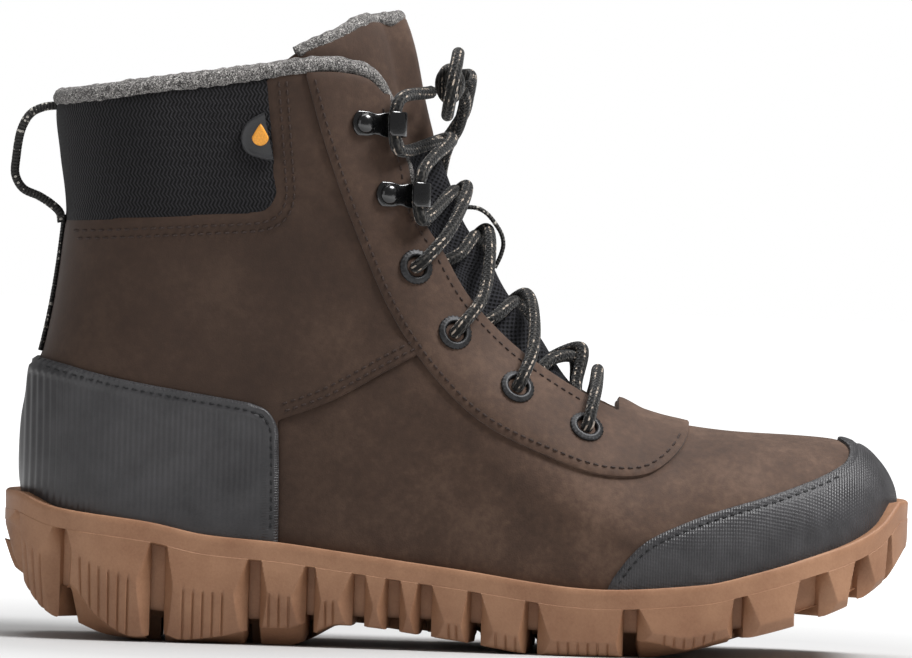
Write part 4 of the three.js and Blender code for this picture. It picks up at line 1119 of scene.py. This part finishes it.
def collar_lift(x, z, inside):
    return 1.3 * (1 - np.exp(-inside / 6)) - 0.6


def heel_lift(x, z, inside):
    """Upright ribs moulded in the heel rubber, inside a plain raised border and a groove."""
    inside = side_distance(heel_shape, x, z)
    deep = smooth(inside, 4.4, 5.0)
    from_back = x - back_x(z)
    at_back = 1 - smooth(from_back, 4, 22)
    # round the back the ribs crowd together in the side view
    phase = x * (1 - at_back) + (back_x(z) + 22 - 0.9 * (22 - from_back)) * at_back
    valley = 0.5 - 0.5 * np.cos(2 * math.pi * phase / 1.9)
    groove = np.exp(-((inside - 2.6) / 0.45) ** 2)
    return -0.34 * deep * valley - 0.15 * deep - 0.45 * groove * (z > sole_top(x) + 4)


def toe_lift(x, z, inside):
    """A groove along the edge, for the stitches."""
    return -0.5 * np.exp(-((inside - 2.6) / 0.55) ** 2) * (z > sole_top(x) + 4)


panel("vamp_leather", limits([vamp_shape], [(open_top, 0)], sunk=3.0), -1.5, 0.0, LEATHER, (1.22, 2.9),
      (-190, 190), steps=(1.7, 1.7), lift=vamp_lift, slot="leather", replaces=["vamp"])
quarter_limits = limits(outside=[(vamp_shape, 0.3), (open_top, 0), (patch_shape, 2.0)], between=(60, 400))
for side_name, girths in (("lateral", (-185, -0.05)), ("medial", (0.05, 185))):
    panel(f"quarter_leather_{side_name}", quarter_limits, -1.5, 0.0, LEATHER, (0.38, 1.52), girths,
          from_back=True, lift=quarter_lift, slot="leather", replaces=[f"quarter_{side_name}"])
panel("eyestay_leather", limits([eyestay_shape]), OVERLAY_LOW, 1.7, LEATHER, (0.38, 2.3), (-85, 85),
      steps=(1.2, 1.2), lift=eased(0.25, 5), slot="leather", replaces=["eyestay"])
panel("collar_cloth", limits([patch_shape], [(open_top, 0)]), -1.5, 0.0, ZIGZAG, (0.38, 1.12), (-112, 112),
      from_back=True, edge=0.8, lift=collar_lift, slot="knit", replaces=["collar_panel"])
panel("heel_guard", limits([heel_shape], sunk=2.5), OVERLAY_LOW, 1.9, HEEL_RUBBER, (1.1, 1.56), (-128, 128),
      steps=(1.1, 0.3), from_back=True, edge=0.9, lift=heel_lift, slot="trim_rubber", replaces=["heel_cover"])
panel("toe_guard", limits([toe_shape], sunk=2.5), OVERLAY_LOW, 1.7, TOE_RUBBER, (1.95, 3.0), (-150, 150),
      steps=(0.9, 0.9), edge=0.7, lift=toe_lift, slot="trim_rubber", replaces=["toe_cap"])


# ---- Collar: a felt roll over the top edge, on round the throat ----
def surface_at(x, z, side, raised):
    """Many places in the side view at once, raised along the surface's normal."""
    along, across = section_of(x, z)
    girth = girth_at(along, across)
    back = across > 0.5
    from_front = surface(along, side * girth)
    from_back = surface(along, side * (whole_girth(along) - girth), True)
    point = np.where(back[:, None], from_back[0], from_front[0])
    normal = np.where(back[:, None], from_back[1], from_front[1])
    return point + normal * np.reshape(raised, (-1, 1)), normal


def fuzz(points, depth, seed):
    """Small uneven bumps, the same each run."""
    rough = np.zeros(len(points))
    steady = np.random.default_rng(seed)
    for size in (7.0, 3.2, 1.7):
        ways = steady.normal(size=(3, 3)) / size * 2
        shift = steady.uniform(0, 6, 3)
        rough += np.prod(np.sin(points @ ways.T + shift), axis=1) * size / 4
    return rough * depth


def felt_roll(name, path, out, wide, high, body="boot", replaces=()):
    """A soft roll along a path; `out` is the way its wide side lies."""
    around = 22
    angle = circle(around)[:, None]
    tangent = unit(np.gradient(path, axis=0))
    out = unit(out - tangent * np.sum(out * tangent, axis=1, keepdims=True))
    up = np.cross(tangent, out)
    wide, high = [np.broadcast_to(size, len(path))[:, None, None] for size in (wide, high)]
    ring = out[:, None] * np.cos(angle) * wide + up[:, None] * np.sin(angle) * high
    points = (path[:, None] + ring).reshape(-1, 3)
    points = points + unit(ring.reshape(-1, 3)) * fuzz(points, 0.28, 3)[:, None]
    faces = tube_faces(len(path), around, flip=True)
    piece = new_piece(name, points, faces, FELT, body=body, slot="felt", replaces=replaces)


def nearest(points, path):
    """The number of the path's point that lies nearest to each point."""
    return [int(np.argmin(np.sum((path - point) ** 2, axis=1))) for point in points]


def collar_path():
    """Round the top edge from one side of the throat to the other, through the back."""
    rim = rim_line[rim_line[:, 0] > -142.5]
    throat = throat_line[throat_line[:, 1] > 146]
    line = curve_through(chain(rim[::6], throat[2::6]), 1.2)
    x, z = line[:, 0], line[:, 1]
    share = np.arange(len(line)) / len(line)
    drop = np.interp(share, [0, 0.5, 1], [2.1, 1.6, 0.2])
    forward = np.interp(share, [0, 0.5, 1], [0, 0.5, 1.6])
    outer, outer_out = surface_at(x + forward, z - drop, OUTER, -2.8)
    inner, inner_out = surface_at(x + forward, z - drop, INNER, -2.8)
    # the back runs level round the heel seam between the two sides
    count = 46
    along, _ = section_of(np.full(count, -144.0), np.full(count, 186.9))
    start_along, start_across = section_of(x[:1], z[:1] - drop[0])
    reach = float(whole_girth(start_along)[0] - girth_at(start_along, start_across)[0])
    turn = np.linspace(-reach, reach, count + 2)[1:-1]
    back, back_out = surface(along, turn, True)
    back = back - back_out * 3.0
    back[:, 2] += np.abs(turn) / reach * (outer[0][2] - back[0][2])
    path = np.concatenate([outer[::-1], back, inner])
    out = np.concatenate([outer_out[::-1], back_out, inner_out])
    even = curve_through(path[::3], 1.0)
    out = out[nearest(even, path)]
    for _ in range(6):
        out[1:-1] = (out[:-2] + out[1:-1] + out[2:]) / 3
    return even, out


roll_path, roll_out = collar_path()
place_in_roll = np.arange(len(roll_path))
from_end = np.minimum(smooth(place_in_roll, 0, 50), smooth(place_in_roll[::-1], 0, 50))
felt_roll("collar_roll", roll_path, roll_out, 3.0 + 0.6 * from_end, 2.7 + 0.4 * from_end,
          replaces=["collar_binding"])

# ---- Tongue: a padded sheet under the throat, mesh below and leather at the top ----
TONGUE_TOP = [(-66, 201.5), (-60.5, 205), (-42.3, 213.5), (-31, 219.2), (-22, 219.6), (-14, 218)]
TONGUE_EDGE = [(20, 150), (60, 100), (52, 82), (40, 82), (16, 95), (-6, 110), (-24, 134), (-38, 160),
               (-48, 180), (-58, 194)]
TONGUE_SINK = 5.6             # how much lower its wings lie than its crown
tongue_shape = chain(curve_through(TONGUE_TOP, 1.5), TONGUE_EDGE)


def tongue_sink(x, girth):
    return TONGUE_SINK * np.maximum(smooth(np.abs(girth), 3, 17), smooth(x, 16, 46))


def felt_behind(piece):
    """A panel's inner face is felt; its points are the second half of the mesh."""
    piece.data.materials.append(FELT)
    half = len(piece.data.vertices) // 2
    for face in piece.data.polygons:
        if min(face.vertices) >= half:
            face.material_index = 1


def tongue_roll_path():
    line = curve_through(TONGUE_TOP[1:5] + [(-24.5, 221)], 1.2)
    line = line[line[:, 0] < leg_front(line[:, 1]) - 0.2]
    x, z = line[:, 0], line[:, 1]
    sunk = tongue_sink(x, girth_at(*section_of(x, z)))[:, None]
    halves = [surface_at(x, z, side, -3.6) for side in (OUTER, INNER)]
    points = [point - normal * sunk for point, normal in halves]
    path = np.concatenate([points[0], points[1][::-1]])
    out = np.concatenate([halves[0][1], halves[1][1][::-1]])
    even = curve_through(path[::3], 1.0)
    return even, out[nearest(even, path)]


tongue_mesh = panel(
    "tongue_mesh", limits([tongue_shape], between=(60, 177)), -4.6, -1.0, MESH_CLOTH, (0.5, 2.2), (-70, 70),
    steps=(1.2, 1.2), edge=0.6, lift=eased(0.35, 6), sink=tongue_sink, slot="knit",
    replaces=["tongue_skin_lower"])
tongue_leather = panel(
    "tongue_leather", limits([tongue_shape], between=(174.5, 300)), -4.4, -1.0, LEATHER, (0.15, 0.8),
    (-80, 80), steps=(1.2, 1.2), edge=0.7, lift=eased(0.35, 6), sink=tongue_sink, body="tongue_top",
    slot="leather", replaces=["tongue_skin_top", "tongue_foam_top", "tongue_lining_top"])
for piece in (tongue_leather, tongue_mesh):
    felt_behind(piece)
felt_roll("tongue_roll", *tongue_roll_path(), 2.9, 2.5, body="tongue_top")


# ---- Side tag: a soft D with a generic amber drop ----
TAG = [(-67.9, 185.9), (-73, 183.9), (-78.0, 180.4), (-79.6, 175.1), (-77.6, 170.6), (-72.8, 168.6),
       (-67.9, 168.5)]
DROP_X, DROP_Z, DROP_SIZE = -72.9, 175.9, 2.9


def drop_distance(x, z):
    """A drop, point up: a disc with a cusp."""
    u, v = (x - DROP_X) / DROP_SIZE, (z - DROP_Z) / DROP_SIZE
    pinch = np.clip(1 - (v + 1) / 2.6, 0, 1) ** 0.75
    width = np.where(v > 0, np.clip(1 - v / 1.6, 0, 1) ** 0.8, np.sqrt(np.clip(1 - v * v, 0, 1)))
    return (width - np.abs(u)) * DROP_SIZE * np.maximum(pinch, 0.5)


def tag_lift(x, z, inside):
    """A raised rim round the tag."""
    return 0.28 * smooth(inside, 1.4, 1.0)


tag_limits = limits([curve_through(TAG, 0.8, closed=True)])
panel("tag_patch", tag_limits, 0.4, 1.8, TAG_RUBBER, (0.5, 0.9), (-100, -55), steps=(0.5, 0.5),
      from_back=True, lift=tag_lift, body="side_tag", slot="trim_rubber", replaces=["side_tag"])
panel("tag_drop", drop_distance, 1.2, 2.45, AMBER, (0.5, 0.9), (-100, -55), steps=(0.35, 0.35),
      from_back=True, edge=0.4, body="side_tag", slot="trim_rubber")


# ---- Webbing: the strip up the back, the pull loop, the lace keeper ----
WEB_WIDE = 9
RIB, LANE = 1.15, 1.5         # the weave's pitches, along the tape and across it


def ribbon(name, path, thick, node, body="boot"):
    """A woven tape along a path in the boot's middle plane, with soft edges."""
    path = curve_through(path, 0.5)
    tangent = unit(np.gradient(path, axis=0))
    out = unit(np.cross([0.0, 1.0, 0.0], tangent))
    side = np.linspace(-1, 1, 19)
    over = side * WEB_WIDE / 2
    run = np.arange(len(path))[:, None] * 0.5
    crown = np.sqrt(np.clip(1 - np.abs(side) ** 6, 0, 1))
    weave = 0.10 * (np.abs(np.sin(run * math.pi / RIB)) + 0.5 * np.abs(np.sin(over * math.pi / LANE)))
    level = (thick / 2 * crown + weave * (np.abs(side) < 0.97))[:, :, None]
    face = path[:, None] + over[:, None] * np.array([0.0, 1.0, 0.0])
    low = (face - out[:, None] * level)[:, -2:0:-1]
    ring = np.concatenate([face + out[:, None] * level, low], axis=1)
    rows, columns = ring.shape[:2]
    uv = np.stack(np.broadcast_arrays(run, np.concatenate([over, over[-2:0:-1]])), axis=2).reshape(-1, 2)
    return new_piece(name, ring.reshape(-1, 3), tube_faces(rows, columns), WEBBING, body=body, slot="webbing",
                     replaces=[node], uv=uv, crease=70)


strip_path = [(float(back_x(z)) - 0.75, 0, z) for z in np.linspace(99, 146.5, 12)]
ribbon("back_strip", strip_path, 1.35, "heel_strip")
LOOP = [(-144.8, 184.4), (-149.2, 183.7), (-153.6, 181.4), (-156.7, 176), (-158.3, 166), (-158.4, 159.8),
        (-155.6, 155.2), (-149.8, 152.6), (-145.3, 149.8), (-142.6, 147.2), (-141.8, 143.8)]
loop_webbing = ribbon("loop_webbing", [(x, 0, z) for x, z in LOOP], 2.7, "pull_loop", body=None)
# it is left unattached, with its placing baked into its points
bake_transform(loop_webbing)
keeper_x, keeper_z = CROSSINGS[3]
HALF_ARCH = [(12.6, -0.6), (10.4, 3.4), (7.6, 6.6), (4.2, 8.1)]      # along the tongue, and off it
arch = [(-along, off) for along, off in HALF_ARCH] + [(0, 8.4)] + HALF_ARCH[::-1]
ribbon("keeper_webbing", [(keeper_x + 0.6 * along + 0.8 * off, 0, keeper_z - 0.8 * along + 0.6 * off)
                          for along, off in arch], 1.3, "lace_keeper")


# ---- Eyelets, hooks and rivets ----
def turned(profile, steps, toothed=()):
    """A ring or dome turned about its local Y; rows whose numbers are in `toothed` get fine teeth."""
    angle = circle(steps)
    teeth = 0.3 * np.maximum(np.sin(angle * 24), 0)
    rows = []
    for i, (radius, y) in enumerate(profile):
        reach = radius + (teeth if i in toothed else 0)
        rows.append(np.stack([reach * np.cos(angle), np.full(steps, y), reach * np.sin(angle)], axis=1))
    return np.concatenate(rows)


def seated(points, x, z, side):
    """Points moved to their seat on the boot, without mirroring them."""
    axes, point = seat(x, z, side)
    if np.linalg.det(axes) < 0:
        axes = axes * np.array([[1], [1], [-1]])
    return points @ axes + point


EYELET_PROFILE = [(3.4, -1.9), (3.4, 2.2), (3.55, 2.75), (3.95, 3.12), (4.45, 3.2), (4.9, 3.05), (5.25, 2.82),
                  (5.6, 2.72), (5.95, 2.5), (6.05, 2.15), (6.0, 1.75), (4.3, 1.6), (4.3, -1.9), (3.4, -1.9)]
HOOK_PATH = [(-5.2, 2.75), (-3, 2.75), (0, 2.75), (3.5, 2.75), (5.2, 2.85), (7.6, 2.95), (9.6, 3.4),
             (11.6, 4.5), (12.8, 6.2), (12.7, 8.2), (11.4, 9.6), (9.4, 10.1), (7.4, 10.0), (5.5, 9.75)]
HOOK_WIDE = 8.5
HOOK_THICK = 0.95
RIVET_PROFILE = [(1.5, -2.4), (1.5, 3.2), (3.5, 3.25), (3.62, 3.6), (3.45, 4.1), (2.9, 4.65), (2.1, 5.05),
                 (1.1, 5.3), (0.0001, 5.38)]


HOOK_SECTION = [(-1, -0.55), (-0.96, -0.85), (-0.88, -1), (0.88, -1), (0.96, -0.85), (1, -0.55),
                (1, 0.55), (0.96, 0.85), (0.88, 1), (-0.88, 1), (-0.96, 0.85), (-1, 0.55)]
HOOK_STEP = 0.35


def make_eyelet(name, x, z, side):
    points = seated(turned(EYELET_PROFILE, 96, toothed=(6, 7, 8)), x, z, side)
    faces = grid_faces(len(EYELET_PROFILE), 96, closed=True)
    new_piece(f"ring_{name}", points, faces, GUNMETAL, slot="gunmetal", replaces=[f"eyelet_{name}"],
              crease=50)


def make_hook(name, x, z, side):
    """A bent plate with a round foot, a waist and a rounded tip."""
    path = curve_through([(u, v, 0) for u, v in HOOK_PATH], HOOK_STEP)
    tangent = unit(np.gradient(path, axis=0))
    out = np.column_stack([-tangent[:, 1], tangent[:, 0], np.zeros(len(path))])
    run = np.arange(len(path)) * HOOK_STEP
    from_tip = run[-1] - run
    foot = np.sqrt(np.clip(27.0 - (np.minimum(run, 5.2) - 5.2) ** 2, 0.05, None))
    waist = 1 - 0.16 * np.exp(-((run - 9.5) / 2.2) ** 2)
    half = np.minimum(HOOK_WIDE / 2, foot) * waist * np.clip(0.72 + from_tip / 3.5, 0, 1)
    across, through_plate = np.array(HOOK_SECTION).T
    ring = out[:, None] * through_plate[:, None] * HOOK_THICK / 2 + path[:, None]
    ring[:, :, 2] += across * half[:, None]
    points = seated(ring.reshape(-1, 3), x, z, side)
    faces = tube_faces(len(path), len(HOOK_SECTION), flip=True)
    new_piece(f"speed_{name}", points, faces, BLACK_METAL, slot="black_metal", replaces=[f"hook_{name}"],
              crease=35)


def make_rivet(name, x, z, side):
    points = seated(turned(RIVET_PROFILE, 40), x, z, side)
    faces = grid_faces(len(RIVET_PROFILE), 40, closed=True, flip=True)
    new_piece(f"dome_{name}", points, faces, BLACK_METAL, slot="black_metal",
              replaces=[f"hook_rivet_{name}"], crease=35)


for side_name, side in (("lateral", OUTER), ("medial", INNER)):
    for number, (x, z, _) in enumerate(EYELETS, 1):
        make_eyelet(f"{side_name}_{number}", x, z, side)
    for number, (x, z) in enumerate(HOOKS, 1):
        make_hook(f"{side_name}_{number}", x, z, side)
        make_rivet(f"{side_name}_{number}", x, z, side)


# ---- Stitching: rows of short slanted stitches, each a small bent tube ----
def beside(line, distance):
    """A side-view line moved to its left by a distance."""
    tangent = unit(np.gradient(line, axis=0))
    return line + np.stack([-tangent[:, 1], tangent[:, 0]], axis=1) * distance


def stitch_row(line, side, raised, pitch=3.0, thick=0.36):
    """Stitches along a side-view line; raised is how high the material they hold stands."""
    around, cuts, long = 6, 5, 2.35
    length = running_length(line)
    count = int(length[-1] / pitch)
    t = np.linspace(-0.5, 0.5, cuts)
    where = ((np.arange(count)[:, None] + 0.5) * pitch + t * long).ravel()
    centre, normal = surface_at(np.interp(where, length, line[:, 0]), np.interp(where, length, line[:, 1]),
                                side, raised)
    dip = np.tile(0.16 - 0.75 * (np.abs(t) * 2) ** 4, count)
    centre = (centre + normal * dip[:, None]).reshape(count, cuts, 3)
    normal = normal.reshape(count, cuts, 3)
    cross = np.cross(unit(centre[:, -1:] - centre[:, :1]), normal)
    angle = circle(around)[:, None]
    size = thick * np.array([0.6, 1, 1.05, 1, 0.6])[:, None, None]
    ring = (cross[:, :, None] * np.cos(angle) + normal[:, :, None] * np.sin(angle)) * size
    points = (centre[:, :, None] + ring).reshape(-1, 3)
    one = tube_faces(cuts, around)
    faces = [tuple(i + k * cuts * around for i in face) for k in range(count) for face in one]
    return points, faces


def inside_sole(line):
    return line[line[:, 1] > sole_top(line[:, 0]) + 1.0]


def make_stitching():
    on_overlay = 1.95
    throat_row = beside(throat_line, -3.2)[3:-8]
    stay_row = beside(eyestay_line, 2.3)[2:]
    crest = np.where(stay_row[:, 0] >= FAN_X, foot_top(foot_key(stay_row[:, 0])), BODY_TOP)
    stay_row = stay_row[stay_row[:, 1] < crest - 1.5]
    seam = seam_line[(seam_line[:, 0] > -62) & (seam_line[:, 0] < 3)]
    patch = chain(patch_front_line[patch_front_line[:, 1] < 196.5],
                  patch_low_line[patch_low_line[:, 0] > -139][1:])
    heel = chain(beside(heel_top_line, -2.6), beside(heel_front_line[1:], -2.6))
    heel = inside_sole(heel[heel[:, 0] > -146])
    toe = inside_sole(beside(toe_line, -2.6))
    toe = toe[(toe[:, 1] < 76) & (toe[:, 0] < 132)]
    brown, black = [], []
    for side in (OUTER, INNER):
        for line, raised in ((throat_row, on_overlay), (stay_row, on_overlay), (beside(seam, 2.0), 1.2),
                             (beside(seam, 4.6), 0.95), (beside(patch, 2.3), 0.2), (beside(patch, 5.0), 0.2)):
            brown.append(stitch_row(line, side, raised))
        black.append(stitch_row(heel, side, 1.55, thick=0.34))
        black.append(stitch_row(toe, side, 1.35, pitch=2.9, thick=0.34))
    new_piece("brown_stitching", *join_parts(brown), BROWN_THREAD, slot="leather")
    new_piece("black_stitching", *join_parts(black), BLACK_THREAD, slot="trim_rubber")


make_stitching()

# ---- Soft pieces inside the boot, cut finer and roughened from their plain shapes ----
LONGEST_EDGE = 4.5


def soft_inside(name, node, material, slot, body="boot", eased=3, depth=0.3):
    """A padded piece from a CAD node's shape; lengths are in millimetres."""
    shape = bmesh.new()
    plain = bpy.data.objects[node]
    shape.from_mesh(plain.data)
    shape.transform(plain.matrix_world)
    bmesh.ops.remove_doubles(shape, verts=shape.verts, dist=1e-5)
    bmesh.ops.triangulate(shape, faces=shape.faces)
    for _ in range(5):
        long_edges = [edge for edge in shape.edges if edge.calc_length() > LONGEST_EDGE / 1000]
        bmesh.ops.subdivide_edges(shape, edges=long_edges, cuts=1)
        bmesh.ops.triangulate(shape, faces=shape.faces)
    for _ in range(eased):
        bmesh.ops.smooth_vert(shape, verts=shape.verts, factor=0.5, use_axis_x=True, use_axis_y=True,
                              use_axis_z=True)
    shape.normal_update()
    points = np.array([v.co[:] for v in shape.verts]) * 1000 - SHIFT
    normals = np.array([v.normal[:] for v in shape.verts])
    faces = [tuple(v.index for v in face.verts) for face in shape.faces]
    shape.free()
    points = points + normals * fuzz(points, depth, 5)[:, None]
    piece = new_piece(name, points, faces, material, body=body, slot=slot, replaces=[node], crease=60)


soft_inside("inner_felt", "felt_lining", FELT, "felt")
soft_inside("tongue_felt", "tongue_lining_lower", FELT, "felt", depth=0.08, eased=1)
soft_inside("tongue_wadding", "tongue_foam_lower", FOAM, "foam", depth=0.08, eased=1)
soft_inside("felted_footbed", "footbed", FELT, "foam", body="footbed")

# ---- The CAD nodes that stay, inside the boot ----
KEPT = {"insulation": FOAM, "midsole": FOAM, "shank": STEEL, "insole_board": BOARD,
        "heel_stiffener": BOARD, "toe_puff": BOARD}
for node, material in KEPT.items():
    cad = bpy.data.objects[node]
    cad.data.materials.clear()
    cad.data.materials.append(material)


# ---- Light and floor ----
# Each lamp's place, aim, size and power, in metres and watts.
LAMPS = {
    "key": ((0.9, -0.42, 1.5), (0.05, 0, 0.1), 0.6, 36),
    "fill": ((-1.2, -1.4, 0.6), (0, 0, 0.1), 1.0, 3),
    "top": ((0.0, 0.25, 1.6), (0, 0, 0.1), 1.1, 15),
}
FLOOR_HALF = 6.0


def make_floor():
    """A pale floor that glows up to white away from the boot."""
    corners = [(x * FLOOR_HALF, y * FLOOR_HALF, 0) for x, y in ((-1, -1), (1, -1), (1, 1), (-1, 1))]
    mesh = bpy.data.meshes.new("floor")
    mesh.from_pydata(corners, [], [(0, 1, 2, 3)])
    floor = bpy.data.objects.new("floor", mesh)
    bpy.context.scene.collection.objects.link(floor)
    n = Nodes("floor")
    here = n.add("ShaderNodeTexCoord").outputs["Object"]
    away = n.add("ShaderNodeVectorMath", {"operation": "LENGTH"}, Vector=here).outputs["Value"]
    glow = n.add("ShaderNodeMapRange", Value=away, From_Min=0.18, From_Max=0.8, To_Min=0.0, To_Max=1.0)
    n.put(n.shader, "Emission Color", (1, 1, 1, 1))
    mesh.materials.append(n.finish(srgb(200, 200, 200), 0.6, Emission_Strength=glow.outputs[0]))


def make_light():
    """Three soft lamps and a dim white room that the camera sees as white."""
    world = bpy.data.worlds.new("studio")
    world.use_nodes = True
    tree = world.node_tree
    background = tree.nodes["Background"]
    background.inputs["Color"].default_value = (1, 1, 1, 1)
    seen = tree.nodes.new("ShaderNodeLightPath").outputs["Is Camera Ray"]
    level = tree.nodes.new("ShaderNodeMapRange")
    level.inputs["To Min"].default_value = 0.2
    level.inputs["To Max"].default_value = 1.0
    tree.links.new(seen, level.inputs["Value"])
    tree.links.new(level.outputs[0], background.inputs["Strength"])
    bpy.context.scene.world = world
    for name, (spot, aim, size, power) in LAMPS.items():
        data = bpy.data.lights.new(name, "AREA")
        data.size = size
        data.energy = power
        lamp = bpy.data.objects.new(name, data)
        face_toward(lamp, spot, aim)
        bpy.context.scene.collection.objects.link(lamp)
    bpy.context.scene.view_settings.view_transform = "Standard"


make_floor()
make_light()
